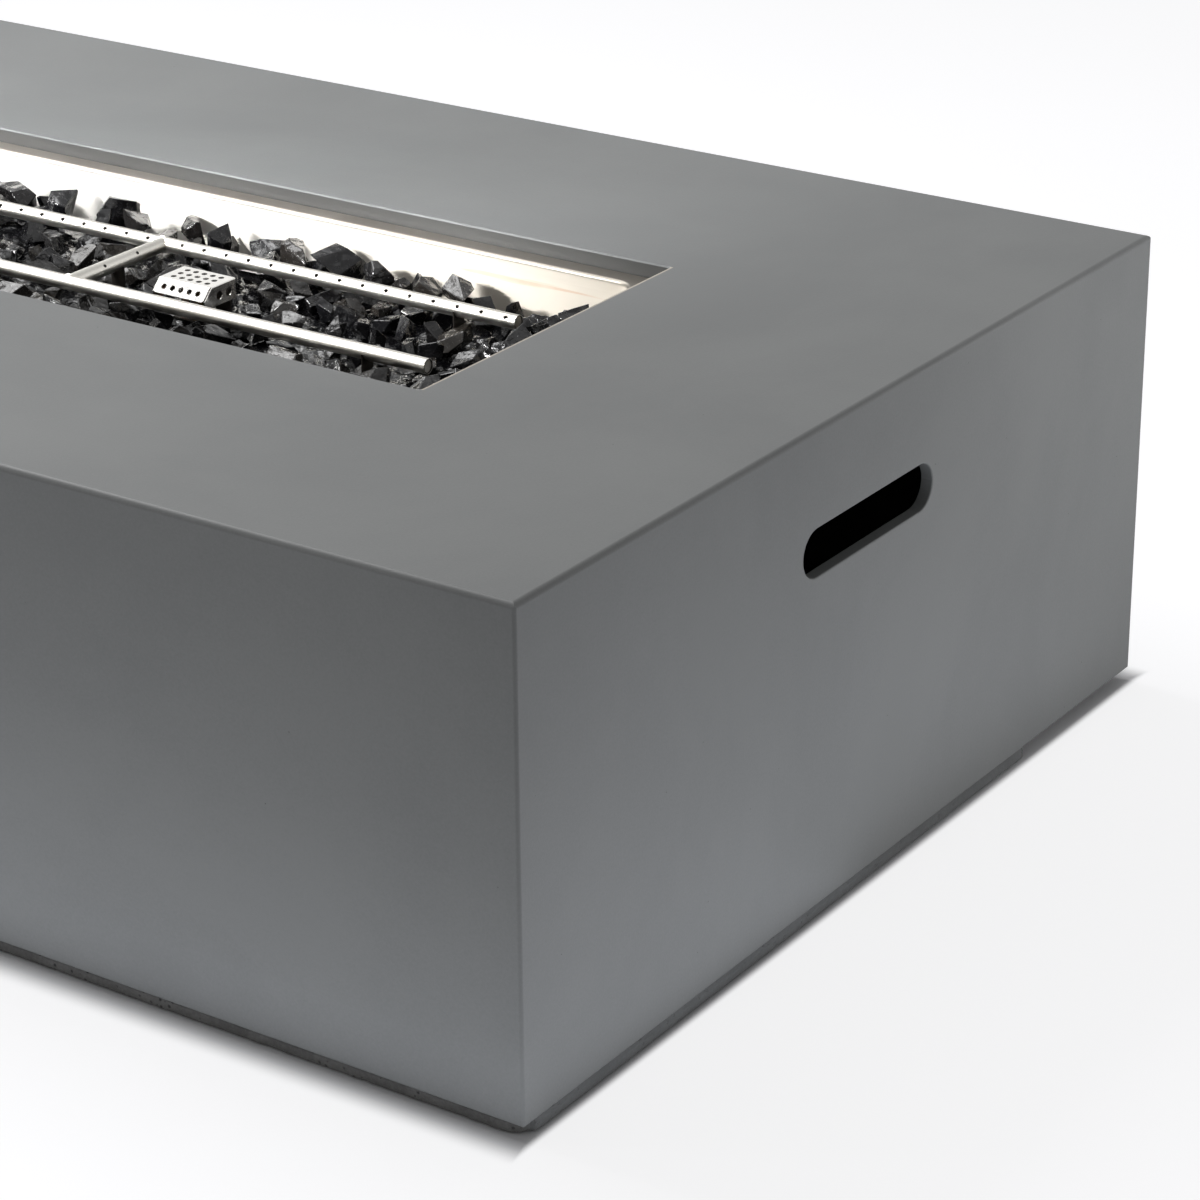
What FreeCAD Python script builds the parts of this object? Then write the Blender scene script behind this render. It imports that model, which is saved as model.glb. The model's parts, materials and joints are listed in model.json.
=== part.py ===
"""Low rectangular gas fire pit table: a cast concrete shell with a burner pan, burner and gas controls.

Millimetres. +X points to the right end, -Y to the front long side, +Z up.
The origin is on the ground, under the middle of the table.
"""
import FreeCAD, Part
import math
import os
import random

V = FreeCAD.Vector
X, Y, Z = V(1, 0, 0), V(0, 1, 0), V(0, 0, 1)

# Cast shell
table_length = 1470.0
table_width = 914.0
table_height = 406.0
wall_thickness = 10.0
top_thickness = 12.0
edge_radius = 4.5
lower_edge_radius = 1.5
corner_radius = 2.5
inner_corner_radius = 14.0
inner_top_radius = 8.0
rib_width = 24.0
rib_depth = 16.0

# Foot ring and the return that carries it
foot_height = 12.0
foot_setback = 3.0
foot_width = 37.0
foot_corner_radius = 18.0
foot_edge_radius = 3.0
return_thickness = 14.0
return_margin = 4.0

# Burner opening in the top
opening_length = 890.0
opening_width = 340.0
opening_corner_radius = 3.0
opening_edge_radius = 2.0
lip_depth = 14.0
ledge_thickness = 12.0
curb_width = 26.0

# Hand slots in the ends
slot_length = 190.0
slot_height = 39.0
slot_drop = 98.5
slot_edge_radius = 1.2

# Burner pan
pan_sheet = 1.2
pan_depth = 70.0
rim_inset = 20.0
rim_bend_radius = 3.0
rim_depth = 12.0
pan_corner_radius = 18.0
floor_bend_radius = 5.0
flange_gap = 1.5
pan_clearance = 1.0
drain_radius = 4.0
drain_inset_x = 70.0
drain_inset_y = 40.0

# Burner
tube_diameter = 12.7
tube_wall = 1.2
tube_length = 742.0
tube_spacing = 122.0
burner_drop = 30.0
port_diameter = 3.0
port_pitch = 24.1
port_first_right = 24.1
port_first_left = 14.0
port_angle = 40.0
cross_port_spacing = 41.5
plug_thickness = 3.0
plug_recess = 0.8
cross_passage_radius = 4.0

# Burner feet
foot_strap_inset = 60.0
strap_sheet = 1.5
strap_width = 14.0
strap_foot_length = 18.0

# Screws and nuts in the pan floor
screw_radius = 2.0
screw_head_radius = 3.8
screw_head_height = 2.2
screw_grip = 5.0
nut_across = 7.0
nut_height = 3.2
hole_clearance = 0.3
thread_clearance = 0.05

# Burner inlet under the pan
stub_diameter = 11.6
stub_drop = 36.0
stub_nut_across = 24.0
stub_nut_height = 6.0
mixer_radius = 12.0
mixer_bore_radius = 9.0
mixer_length = 52.0
mixer_engagement = 14.0
mixer_window_width = 9.0
mixer_window_height = 16.0
mixer_floor = 5.0
mixer_window_rise = 3.0
jet_radius = 5.0
jet_bore_radius = 0.9
jet_rise = 6.0
jet_across = 17.0
jet_body_height = 22.0
elbow_radius = 7.5
elbow_reach = 26.0

# Pilot group
pilot_x = 92.0
pilot_y = -5.0
shield_length = 56.0
shield_width = 33.0
shield_drop = 24.0
shield_skirt = 14.0
shield_end_drop = 17.0
shield_slope = 45.0
shield_sheet = 0.8
shield_corner_radius = 2.5
shield_hole_radius = 2.5
shield_hole_pitch = 9.0
shield_end_hole_radius = 3.8
shield_end_hole_pitch = 12.0
shield_end_hole_drop = 9.0
shield_tab_gap = 0.6
bracket_width = 44.0
bracket_foot = 16.0
bracket_screw_pitch = 30.0
shelf_drop = 60.0
shelf_front = 8.0
device_pitch = 14.0
pilot_radius = 4.0
pilot_collar_across = 11.0
pilot_collar_height = 5.0
pilot_head_radius = 5.5
pilot_head_height = 9.0
pilot_bore_radius = 1.2
probe_radius = 2.4
probe_collar_radius = 4.0
ceramic_radius = 3.2
ceramic_collar_radius = 4.6
ceramic_rise = 15.0
spark_wire_radius = 0.8
spark_gap = 3.0
spark_drop = 2.0
device_tail = 12.0
device_headroom = 8.0

# Lines between the pilot group and the controls
pilot_line_radius = 3.0
pilot_line_wall = 0.8
probe_lead_radius = 1.3
ignition_wire_radius = 2.2
line_hole_clearance = 0.6
line_fall = 62.0
arc_share = 0.45
bend_share = 0.9

# Recessed control box in the back wall
recess_length = 190.0
recess_height = 110.0
recess_depth = 42.0
recess_corner_radius = 12.0
recess_edge_radius = 1.5
box_sheet = 1.2
box_reveal = 2.0
box_flange = 18.0
control_x = 180.0
control_z = 205.0
stud_radius = 2.5
stud_embed = 6.0
stud_length = 16.0
stud_nut_across = 8.0
stud_nut_height = 4.0

# Gas valve
valve_width = 34.0
valve_height = 38.0
valve_length = 62.0
valve_edge_radius = 3.0
valve_front_wall = 6.0
plug_radius = 9.0
plug_length = 24.0
running_clearance = 0.05
end_clearance = 0.2
stem_radius = 3.0
stem_flat = 0.8
stem_hole_radius = 4.5
plate_hole_radius = 8.0
stem_engagement = 12.0
stem_spring_room = 4.5
gas_bore_radius = 3.5
valve_inlet_setback = 47.8
valve_boss_radius = 8.0
valve_boss_length = 13.0
valve_screw_spacing = 22.0
valve_screw_depth = 8.0
line_boss_radius = 5.0
line_boss_height = 7.0
line_boss_setback = 28.0
line_boss_spread = 8.0

# Knob and dial ring
knob_radius = 21.0
knob_skirt_height = 8.0
knob_height = 22.0
knob_grip_width = 12.0
knob_rest_gap = 3.0
knob_travel = 3.5
knob_edge_radius = 1.5
knob_hub_depth = 14.0
marker_width = 2.0
marker_length = 9.0
marker_depth = 0.8
dial_radius = 32.0
dial_hole_radius = 20.0
dial_thickness = 1.2

# Igniter
igniter_offset = 60.0
igniter_flange_radius = 15.0
igniter_flange_height = 3.0
igniter_neck_radius = 11.0
igniter_wall_end = 4.0
igniter_terminal_radius = 4.0
igniter_terminal_length = 8.0
igniter_nut_across = 28.0
igniter_nut_height = 5.0
button_radius = 8.5
button_gap = 0.1
button_proud = 1.5
button_travel = 3.5
button_length = 13.0
button_edge_radius = 1.0
battery_radius = 7.2
battery_length = 50.0
button_spring_length = 12.0
spring_wire = 0.6
spring_side_gap = 1.0

# Gas inlet
inlet_offset = 66.0
inlet_spigot_radius = 7.9
inlet_spigot_length = 18.0
inlet_across = 22.0
inlet_hex_height = 6.0
inlet_neck_radius = 8.0
inlet_bore_radius = 4.0
inlet_nut_height = 5.0
inlet_tail = 12.0
supply_radius = 4.0
supply_wall = 0.8
flare_nut_across = 14.0
flare_nut_length = 10.0

# Burner hose
hose_radius = 6.5
hose_bore_radius = 4.0
hose_nut_across = 17.0
hose_nut_length = 14.0
hose_lead = 94.0

# Fire glass
glass_gap = 0.4
glass_drop = 51.0
glass_swing = 9.0
glass_cell = 21.0
glass_jitter = 0.3
glass_clearance = 0.6
glass_seed = 7

# Levels and half sizes that follow from the values above
top = table_height
half_length = table_length / 2
half_width = table_width / 2
ledge_top = top - lip_depth
flange_top = ledge_top + pan_sheet
pan_floor = flange_top - pan_depth
pan_under = pan_floor - pan_sheet
pan_length = opening_length - 2 * rim_inset
pan_width = opening_width - 2 * rim_inset
tube_radius = tube_diameter / 2
stub_radius = stub_diameter / 2
burner_z = top - burner_drop
tube_y = tube_spacing / 2
stub_end = pan_under - stub_drop
mixer_top = stub_end + mixer_engagement
mixer_bottom = mixer_top - mixer_length
elbow_z = mixer_bottom - jet_body_height / 2
shield_top = top - shield_drop
shield_under = shield_top - shield_sheet
shelf_z = top - shelf_drop
device_top = shield_under - device_headroom
device_end = shelf_z - device_tail
web_back = pilot_y + shield_width / 2 - shield_sheet
web_front = web_back - strap_sheet
plate_front = half_width - recess_depth
plate_back = plate_front - box_sheet
wall_inner = half_width - wall_thickness
valve_rear = plate_back - valve_length
valve_inlet_y = plate_back - valve_inlet_setback
line_boss_y = plate_back - line_boss_setback
knob_back = plate_front + knob_rest_gap + knob_travel
inlet_x = control_x - inlet_offset
igniter_x = control_x + igniter_offset
inlet_end = plate_back - inlet_tail
plug_front = plate_back - valve_front_wall - end_clearance
plug_bore_depth = stem_engagement + knob_travel + stem_spring_room
stem_end = plug_front - stem_engagement
igniter_front = plate_front + igniter_flange_height
button_front = igniter_front + button_proud + button_travel
button_back = button_front - button_length
battery_front = button_back - button_spring_length
battery_back = battery_front - battery_length
igniter_back = battery_back - igniter_wall_end


def box(x, y, z):
    """A block between pairs of coordinates."""
    return Part.makeBox(x[1] - x[0], y[1] - y[0], z[1] - z[0], V(x[0], y[0], z[0]))


def rod(radius, start, axis, length):
    return Part.makeCylinder(radius, length, start, axis)


def pipe(radius, bore, start, axis, length):
    return rod(radius, start, axis, length).cut(rod(bore, start, axis, length))


def rounded_outline(length, width, radius):
    """A rounded rectangle about the origin in the XY plane."""
    a, b = length / 2, width / 2
    if radius <= 0:
        corners = [V(-a, -b, 0), V(a, -b, 0), V(a, b, 0), V(-a, b, 0), V(-a, -b, 0)]
        return Part.makePolygon(corners)
    k = radius * (1 - math.sqrt(0.5))
    edges = []
    for sx, sy in ((1, -1), (1, 1), (-1, 1), (-1, -1)):
        arrive = V(sx * a, sy * (b - radius), 0)
        leave = V(sx * (a - radius), sy * b, 0)
        if sx * sy < 0:
            arrive, leave = leave, arrive
        middle = V(sx * (a - k), sy * (b - k), 0)
        if edges:
            edges.append(Part.makeLine(last, arrive))
        else:
            first = arrive
        edges.append(Part.Arc(arrive, middle, leave).toShape())
        last = leave
    edges.append(Part.makeLine(last, first))
    return Part.Wire(Part.__sortEdges__(edges))


def slab(length, width, radius, z, at=(0.0, 0.0)):
    """A rounded rectangular block between two levels."""
    face = Part.Face(rounded_outline(length, width, radius))
    face.translate(V(at[0], at[1], z[0]))
    return face.extrude(V(0, 0, z[1] - z[0]))


def wall_slab(length, height, radius, y, x, z):
    """A rounded block standing in a wall along X, between two values of Y."""
    face = Part.Face(rounded_outline(length, height, radius))
    face.rotate(V(0, 0, 0), X, 90)
    face.translate(V(x, y[0], z))
    return face.extrude(V(0, y[1] - y[0], 0))


def hexagon(across, start, axis, height):
    """A hexagonal prism; its flats are `across` apart."""
    corner = across / math.sqrt(3)
    points = [V(corner * math.cos(math.radians(60 * i)), corner * math.sin(math.radians(60 * i)), 0)
              for i in range(7)]
    prism = Part.Face(Part.makePolygon(points)).extrude(V(0, 0, height))
    prism.Placement = FreeCAD.Placement(start, FreeCAD.Rotation(Z, axis))
    return prism


def nut(across, bore, start, axis, height):
    return hexagon(across, start, axis, height).cut(rod(bore, start, axis, height))


def level_edges(shape, z, reach=None):
    """Edges that lie at one level, within `reach` of the Z axis in X and Y if it is given."""
    found = []
    for edge in shape.Edges:
        bounds = edge.BoundBox
        if abs(bounds.ZMin - z) > 1e-4 or abs(bounds.ZMax - z) > 1e-4:
            continue
        if reach and (max(abs(bounds.XMin), abs(bounds.XMax)) > reach[0]
                      or max(abs(bounds.YMin), abs(bounds.YMax)) > reach[1]):
            continue
        found.append(edge)
    return found


def route(points):
    """Straight runs joined by tangent arcs, each as large as its two runs allow."""
    edges = []
    last = points[0]
    for before, corner, after in zip(points, points[1:], points[2:]):
        back, on = before - corner, after - corner
        run = min(back.Length, on.Length)
        back.normalize()
        on.normalize()
        half = (math.pi - back.getAngle(on)) / 2
        setback = arc_share * run
        radius = setback / math.tan(half)
        start, end = corner + back * setback, corner + on * setback
        inward = (back + on).normalize()
        middle = corner + inward * (radius / math.cos(half) - radius)
        edges.append(Part.LineSegment(last, start).toShape())
        edges.append(Part.Arc(start, middle, end).toShape())
        print("bend radius", round(radius, 1))
        last = end
    edges.append(Part.LineSegment(last, points[-1]).toShape())
    return Part.Wire(edges)


def line_along(points, radius, bore=0.0):
    """A round line, solid or hollow, along a route."""
    path = route(points)
    ring = Part.makeCircle(radius, points[0], points[1] - points[0])
    line = path.makePipeShell([Part.Wire([ring])], True, False)
    if bore:
        hole = Part.makeCircle(bore, points[0], points[1] - points[0])
        line = line.cut(path.makePipeShell([Part.Wire([hole])], True, False))
    print("line length", round(path.Length, 1), "volume share",
          round(line.Volume / (math.pi * (radius ** 2 - bore ** 2) * path.Length), 4))
    return line


# Cast body

def rolled_bar(half_x, half_y, across):
    """A bar whose two faces that look along one axis are rounded over at the top and the bottom."""
    bar = box((-half_x, half_x), (-half_y, half_y), (foot_height, top))
    for z, radius in ((top, edge_radius), (foot_height, lower_edge_radius)):
        bar = bar.makeFillet(radius, [edge for edge in level_edges(bar, z)
                                      if abs(edge.tangentAt(edge.FirstParameter).dot(across)) < 0.5])
    return bar


def shell_block():
    """The outer block: arrises mitred at the corners as in its mould, and sharper upright corners."""
    block = slab(table_length, table_width, corner_radius, (foot_height - 1, top + 1))
    beyond = edge_radius
    return block.common(rolled_bar(half_length, half_width + beyond, X)).common(
        rolled_bar(half_length + beyond, half_width, Y))


def shell_cavity():
    """The hollow under the top, and the way in through the return at the bottom."""
    return_width = foot_setback + foot_width + return_margin
    hollow = slab(table_length - 2 * wall_thickness, table_width - 2 * wall_thickness, inner_corner_radius,
                  (foot_height + return_thickness, top - top_thickness))
    hollow = hollow.makeFillet(inner_top_radius, level_edges(hollow, top - top_thickness))
    way_in = slab(table_length - 2 * return_width, table_width - 2 * return_width, inner_corner_radius,
                  (foot_height - 1, foot_height + return_thickness + 1))
    return hollow.fuse(way_in)


def shell_ribs():
    """One rib under the top, across each end panel."""
    middle = (opening_length / 2 + half_length) / 2
    ribs = []
    for side in (-1, 1):
        x = side * middle
        ribs.append(box((x - rib_width / 2, x + rib_width / 2), (-wall_inner - 1, wall_inner + 1),
                        (top - top_thickness - rib_depth, top - top_thickness + 1)))
    return ribs


def hand_slot(side):
    outline = Part.Face(rounded_outline(slot_length, slot_height, slot_height / 2 - 0.01))
    outline.rotate(V(0, 0, 0), X, 90)
    outline.rotate(V(0, 0, 0), Z, 90)
    reach = wall_thickness + 2
    outline.translate(V(side * (half_length - wall_thickness - 1), 0, top - slot_drop))
    return outline.extrude(V(side * reach, 0, 0))


def stud_places():
    """Centres of the control box studs, as X and Z."""
    dx = recess_length / 2 + box_reveal + box_sheet + box_flange / 2
    dz = recess_height / 2 + box_reveal + box_sheet + box_flange / 2
    return [(control_x + sx * dx, control_z + sz * dz) for sx in (-1, 1) for sz in (-1, 1)]


def concrete_shell():
    body = shell_block().cut(shell_cavity())
    curb = slab(opening_length + 2 * curb_width, opening_width + 2 * curb_width, curb_width / 2,
                (ledge_top - ledge_thickness, top - top_thickness + 1))
    body = body.fuse([curb] + shell_ribs())
    opening = slab(opening_length, opening_width, opening_corner_radius, (ledge_top, top + 1))
    beyond = rim_bend_radius + pan_clearance
    pan_way = slab(pan_length + 2 * beyond, pan_width + 2 * beyond, pan_corner_radius + beyond,
                   (ledge_top - ledge_thickness - 1, top))
    recess = wall_slab(recess_length, recess_height, recess_corner_radius,
                       (wall_inner - 1, half_width + 1), control_x, control_z)
    studs = [rod(stud_radius, V(x, wall_inner - 1, z), Y, stud_embed + 1) for x, z in stud_places()]
    body = body.cut([opening, pan_way, recess, hand_slot(-1), hand_slot(1)] + studs).removeSplitter()
    body = body.makeFillet(opening_edge_radius,
                           level_edges(body, top, (opening_length / 2 + 1, opening_width / 2 + 1)))
    mouths = []
    for edge in body.Edges:
        bounds = edge.BoundBox
        in_end = bounds.XLength < 1e-4 and abs(abs(bounds.XMin) - half_length) < 1e-4
        near_slot = max(abs(bounds.YMin), abs(bounds.YMax)) < slot_length / 2 + 1
        if in_end and near_slot and bounds.ZMax < top - slot_drop + slot_height / 2 + 1:
            if bounds.ZMin > top - slot_drop - slot_height / 2 - 1:
                mouths.append(edge)
    body = body.makeFillet(slot_edge_radius, mouths)
    rim = []
    for edge in body.Edges:
        bounds = edge.BoundBox
        in_back = bounds.YLength < 1e-4 and abs(bounds.YMin - half_width) < 1e-4
        near = abs(bounds.Center.x - control_x) < recess_length / 2 + 1
        if in_back and near and abs(bounds.Center.z - control_z) < recess_height / 2 + 1:
            rim.append(edge)
    return body.makeFillet(recess_edge_radius, rim)


def foot_ring():
    length, width = table_length - 2 * foot_setback, table_width - 2 * foot_setback
    ring = slab(length, width, foot_corner_radius, (0, foot_height))
    ring = ring.makeFillet(foot_edge_radius, level_edges(ring, 0))
    inner_radius = max(foot_corner_radius - foot_width, 0) + inner_corner_radius / 2
    return ring.cut(slab(length - 2 * foot_width, width - 2 * foot_width, inner_radius,
                         (-1, foot_height + 1)))


# Burner pan

def pan_space(gap, z):
    """The inside of the pan, smaller by a gap, with its rounded floor edge."""
    space = slab(pan_length - 2 * gap, pan_width - 2 * gap, pan_corner_radius - gap, z)
    return space.makeFillet(floor_bend_radius, level_edges(space, z[0]))


def pan_screw_places():
    """Centres of the screws through the pan floor: burner feet first, then the pilot bracket."""
    beside = strap_foot_length / 2 + strap_sheet / 2
    places = [(sx * (tube_length / 2 - foot_strap_inset) + beside, sy * tube_y)
              for sx in (-1, 1) for sy in (-1, 1)]
    y = web_back + bracket_foot / 2
    return places + [(pilot_x + s * bracket_screw_pitch / 2, y) for s in (-1, 1)]


def line_places():
    """Where the three lines of the pilot group come down: X, and the radius of the line."""
    return [(pilot_x - device_pitch, probe_lead_radius), (pilot_x, pilot_line_radius),
            (pilot_x + device_pitch, ignition_wire_radius)]


def drain_places():
    dx, dy = pan_length / 2 - drain_inset_x, pan_width / 2 - drain_inset_y
    return [(sx * dx, sy * dy) for sx in (-1, 1) for sy in (-1, 1)]


def folded_pan():
    """The whole pan in sheet metal: a flange that lies on the ledge, a roll, walls and a floor."""
    flange = slab(opening_length - 2 * flange_gap, opening_width - 2 * flange_gap,
                  opening_corner_radius, (ledge_top, flange_top))
    tub = slab(pan_length + 2 * pan_sheet, pan_width + 2 * pan_sheet, pan_corner_radius + pan_sheet,
               (pan_under, flange_top))
    tub = tub.makeFillet(floor_bend_radius + pan_sheet, level_edges(tub, pan_under))
    pan = flange.fuse(tub).removeSplitter()
    under = level_edges(pan, ledge_top, (pan_length / 2 + pan_sheet + 0.1, pan_width / 2 + pan_sheet + 0.1))
    pan = pan.makeFillet(rim_bend_radius - pan_sheet, under)
    pan = pan.cut(pan_space(0, (pan_floor, flange_top + 1)))
    return pan.makeFillet(rim_bend_radius,
                          level_edges(pan, flange_top, (pan_length / 2 + 0.1, pan_width / 2 + 0.1)))


def pan_rim():
    """The flange and its roll, down to the tray's seam: straight strips with corner pieces butted between."""
    rim = folded_pan()
    x = pan_length / 2 - pan_corner_radius
    y = pan_width / 2 - pan_corner_radius
    strips = []
    for column in ((-half_length, -x), (-x, x), (x, half_length)):
        for row in ((-half_width, -y), (-y, y), (y, half_width)):
            strip = rim.common(box(column, row, (flange_top - rim_depth, top)))
            strips += strip.Solids
    return strips


def burner_pan():
    """The tray below the seam, with the holes in its floor."""
    tray = folded_pan().common(box((-half_length, half_length), (-half_width, half_width),
                                   (0, flange_top - rim_depth)))
    depth = pan_sheet + 2
    low = pan_under - 1
    holes = [rod(stub_radius + 2 * hole_clearance, V(0, 0, low), Z, depth)]
    holes += [rod(screw_radius + hole_clearance, V(x, y, low), Z, depth) for x, y in pan_screw_places()]
    holes += [rod(radius + line_hole_clearance, V(x, pilot_y, low), Z, depth)
              for x, radius in line_places()]
    holes += [rod(drain_radius, V(x, y, low), Z, depth) for x, y in drain_places()]
    return tray.cut(holes)


# Burner

def port_places():
    """Where the gas ports are along a long tube, to the right of the cross tube and to its left."""
    room = tube_length / 2 - plug_thickness - plug_recess - port_diameter
    places = []
    for side, first in ((1, port_first_right), (-1, port_first_left)):
        count = int((room - first) / port_pitch) + 1
        places += [side * (first + i * port_pitch) for i in range(count)]
    return places


def burner_tube(side):
    """A long tube; side is -1 for the front and 1 for the rear. Its ports face up and inwards."""
    start = V(-tube_length / 2, side * tube_y, burner_z)
    tube = pipe(tube_radius, tube_radius - tube_wall, start, X, tube_length)
    angle = math.radians(port_angle)
    out = V(0, -side * math.cos(angle), math.sin(angle))
    ports = []
    for x in port_places():
        centre = V(x, side * tube_y, burner_z)
        ports.append(rod(port_diameter / 2, centre + out * (tube_radius - 2 * tube_wall), out, 3 * tube_wall))
    ports.append(rod(cross_passage_radius, V(0, side * tube_y, burner_z), V(0, -side, 0), tube_radius + 1))
    return tube.cut(ports)


def burner_end_plugs():
    bore = tube_radius - tube_wall
    reach = tube_length / 2 - plug_recess
    return [rod(bore, V(x, sy * tube_y, burner_z), X, plug_thickness)
            for x in (-reach, reach - plug_thickness) for sy in (-1, 1)]


def burner_cross_tube():
    start = V(0, -tube_y, burner_z)
    tube = pipe(tube_radius, tube_radius - tube_wall, start, Y, tube_spacing)
    long_tubes = [rod(tube_radius, V(-tube_radius * 2, s * tube_y, burner_z), X, tube_radius * 4)
                  for s in (-1, 1)]
    angle = math.radians(port_angle)
    out = V(math.cos(angle), 0, math.sin(angle))
    cuts = long_tubes + [rod(cross_passage_radius, V(0, 0, burner_z), -Z, tube_radius + 1)]
    for s in (-1, 1):
        centre = V(0, s * cross_port_spacing / 2, burner_z)
        cuts.append(rod(port_diameter / 2, centre + out * (tube_radius - 2 * tube_wall), out, 3 * tube_wall))
    return tube.cut(cuts)


def burner_stub():
    """The gas inlet: a tube down from the cross tube through the pan floor."""
    stub = pipe(stub_radius, stub_radius - tube_wall, V(0, 0, stub_end), Z, burner_z - stub_end)
    return stub.cut(rod(tube_radius, V(0, -tube_spacing / 2, burner_z), Y, tube_spacing))


def burner_clamp_nuts():
    """One nut above and one below the pan floor."""
    bore = stub_radius + thread_clearance
    return [nut(stub_nut_across, bore, V(0, 0, z), Z, stub_nut_height)
            for z in (pan_floor, pan_under - stub_nut_height)]


def burner_foot(sx, sy):
    """A folded strap from the pan floor up to a long tube."""
    x, y = sx * (tube_length / 2 - foot_strap_inset), sy * tube_y
    upright = box((x - strap_sheet / 2, x + strap_sheet / 2), (y - strap_width / 2, y + strap_width / 2),
                  (pan_floor, burner_z))
    upright = upright.cut(rod(tube_radius, V(x - strap_sheet, y, burner_z), X, 2 * strap_sheet))
    foot = box((x - strap_sheet / 2, x + strap_sheet / 2 + strap_foot_length),
               (y - strap_width / 2, y + strap_width / 2), (pan_floor, pan_floor + strap_sheet))
    screw_x = x + strap_sheet / 2 + strap_foot_length / 2
    hole = rod(screw_radius + hole_clearance, V(screw_x, y, pan_floor - 1), Z, strap_sheet + 2)
    return upright.fuse(foot).cut(hole)


def burner_feet():
    return [burner_foot(sx, sy) for sx in (-1, 1) for sy in (-1, 1)]


def pan_screws():
    seat = pan_floor + strap_sheet
    screws = []
    for x, y in pan_screw_places():
        head = rod(screw_head_radius, V(x, y, seat), Z, screw_head_height)
        shank = rod(screw_radius, V(x, y, pan_under - screw_grip), Z, seat - pan_under + screw_grip)
        screws.append(head.fuse(shank))
    return screws


def pan_nuts():
    return [nut(nut_across, screw_radius + thread_clearance, V(x, y, pan_under - nut_height), Z, nut_height)
            for x, y in pan_screw_places()]


# Air mixer and jet

def air_mixer():
    body = rod(mixer_radius, V(0, 0, mixer_bottom), Z, mixer_length)
    bore = rod(mixer_bore_radius, V(0, 0, mixer_bottom + mixer_floor), Z,
               mixer_length - mixer_engagement - mixer_floor)
    jet_way = rod(jet_radius + thread_clearance, V(0, 0, mixer_bottom - 1), Z, mixer_floor + 2)
    low = mixer_bottom + mixer_floor + mixer_window_rise
    window = box((-mixer_window_width / 2, mixer_window_width / 2), (-mixer_radius - 1, mixer_radius + 1),
                 (low, low + mixer_window_height))
    upper = rod(stub_radius + thread_clearance, V(0, 0, mixer_top - mixer_engagement - 1), Z,
                mixer_engagement + 2)
    return body.cut([bore, upper, jet_way, window])


def gas_jet():
    """The drilled jet on an elbow that takes the burner hose from the back."""
    body = hexagon(jet_across, V(0, 0, mixer_bottom - jet_body_height), Z, jet_body_height)
    nozzle = rod(jet_radius, V(0, 0, mixer_bottom), Z, mixer_floor + jet_rise)
    arm = rod(elbow_radius, V(0, 0, elbow_z), Y, elbow_reach)
    bore = rod(hose_bore_radius, V(0, 0, elbow_z), Y, elbow_reach + 1)
    drill = rod(jet_bore_radius, V(0, 0, elbow_z), Z, jet_body_height + mixer_floor + jet_rise)
    return body.fuse([nozzle, arm]).cut([bore, drill])


# Pilot group

def skirt(start, along, down, inward):
    """A bent side of the shield from its top edge, with rounded lower corners and one row of holes."""
    r = shield_corner_radius
    k = r * (1 - math.sqrt(0.5))
    a = shield_length / 2 - shield_sheet - shield_tab_gap
    height = shield_skirt

    def at(u, v):
        return start + along * u + down * v

    edges = [Part.makeLine(at(-a, 0), at(a, 0)), Part.makeLine(at(a, 0), at(a, height - r)),
             Part.Arc(at(a, height - r), at(a - k, height - k), at(a - r, height)).toShape(),
             Part.makeLine(at(a - r, height), at(r - a, height)),
             Part.Arc(at(r - a, height), at(k - a, height - k), at(-a, height - r)).toShape(),
             Part.makeLine(at(-a, height - r), at(-a, 0))]
    side = Part.Face(Part.Wire(edges)).extrude(inward * shield_sheet)
    middle = (height + shield_sheet) / 2
    holes = [rod(shield_hole_radius, at(i * shield_hole_pitch, middle) - inward, inward, shield_sheet + 2)
             for i in range(-2, 3)]
    return side.cut(holes)


def shield_end(side):
    """An upright end of the shield: its front edge follows the sloping skirt, and it has two holes."""
    x = pilot_x + side * shield_length / 2
    relief = shield_sheet + shield_tab_gap
    front, back = pilot_y - shield_width / 2 + relief, pilot_y + shield_width / 2 - relief
    slope = math.radians(shield_slope)
    reach, fall = shield_skirt * math.cos(slope), shield_skirt * math.sin(slope)
    corners = [V(x, back, shield_top), V(x, front, shield_top), V(x, front - reach, shield_top - fall),
               V(x, front - reach, shield_top - shield_end_drop), V(x, back, shield_top - shield_end_drop)]
    plate = Part.Face(Part.makePolygon(corners + corners[:1])).extrude(X * -side * shield_sheet)
    low = shield_top - shield_end_hole_drop
    holes = [rod(shield_end_hole_radius, V(x - 2, pilot_y + t * shield_end_hole_pitch / 2, low), X, 4)
             for t in (-1, 1)]
    return plate.cut(holes)


def pilot_shield():
    """A folded perforated cover: rows of holes above, a sloping front skirt and upright ends."""
    a, b = shield_length / 2, shield_width / 2
    relief = shield_sheet + shield_tab_gap
    plate = box((pilot_x - a, pilot_x + a), (pilot_y - b + relief, pilot_y + b - relief),
                (shield_under, shield_top))
    plate = plate.fuse(box((pilot_x - a + relief, pilot_x + a - relief), (pilot_y - b, pilot_y + b),
                           (shield_under, shield_top)))
    slope = math.radians(shield_slope)
    down, inward = V(0, -math.cos(slope), -math.sin(slope)), V(0, math.sin(slope), -math.cos(slope))
    sides = [skirt(V(pilot_x, pilot_y - b, shield_top), X, down, inward),
             skirt(V(pilot_x, pilot_y + b, shield_top), X, -Z, -Y), shield_end(-1), shield_end(1)]
    shield = plate.fuse(sides).removeSplitter()
    bends = [edge for edge in level_edges(shield, shield_top) if edge.Length > shield_width / 2]
    shield = shield.makeFillet(bend_share * shield_sheet, bends)
    holes = [rod(shield_hole_radius,
                 V(pilot_x + i * shield_hole_pitch, pilot_y + row * shield_hole_pitch, shield_under - 1),
                 Z, shield_sheet + 2)
             for row in (-1, 0, 1) for i in range(-2, 3)]
    return shield.cut(holes)


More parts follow.
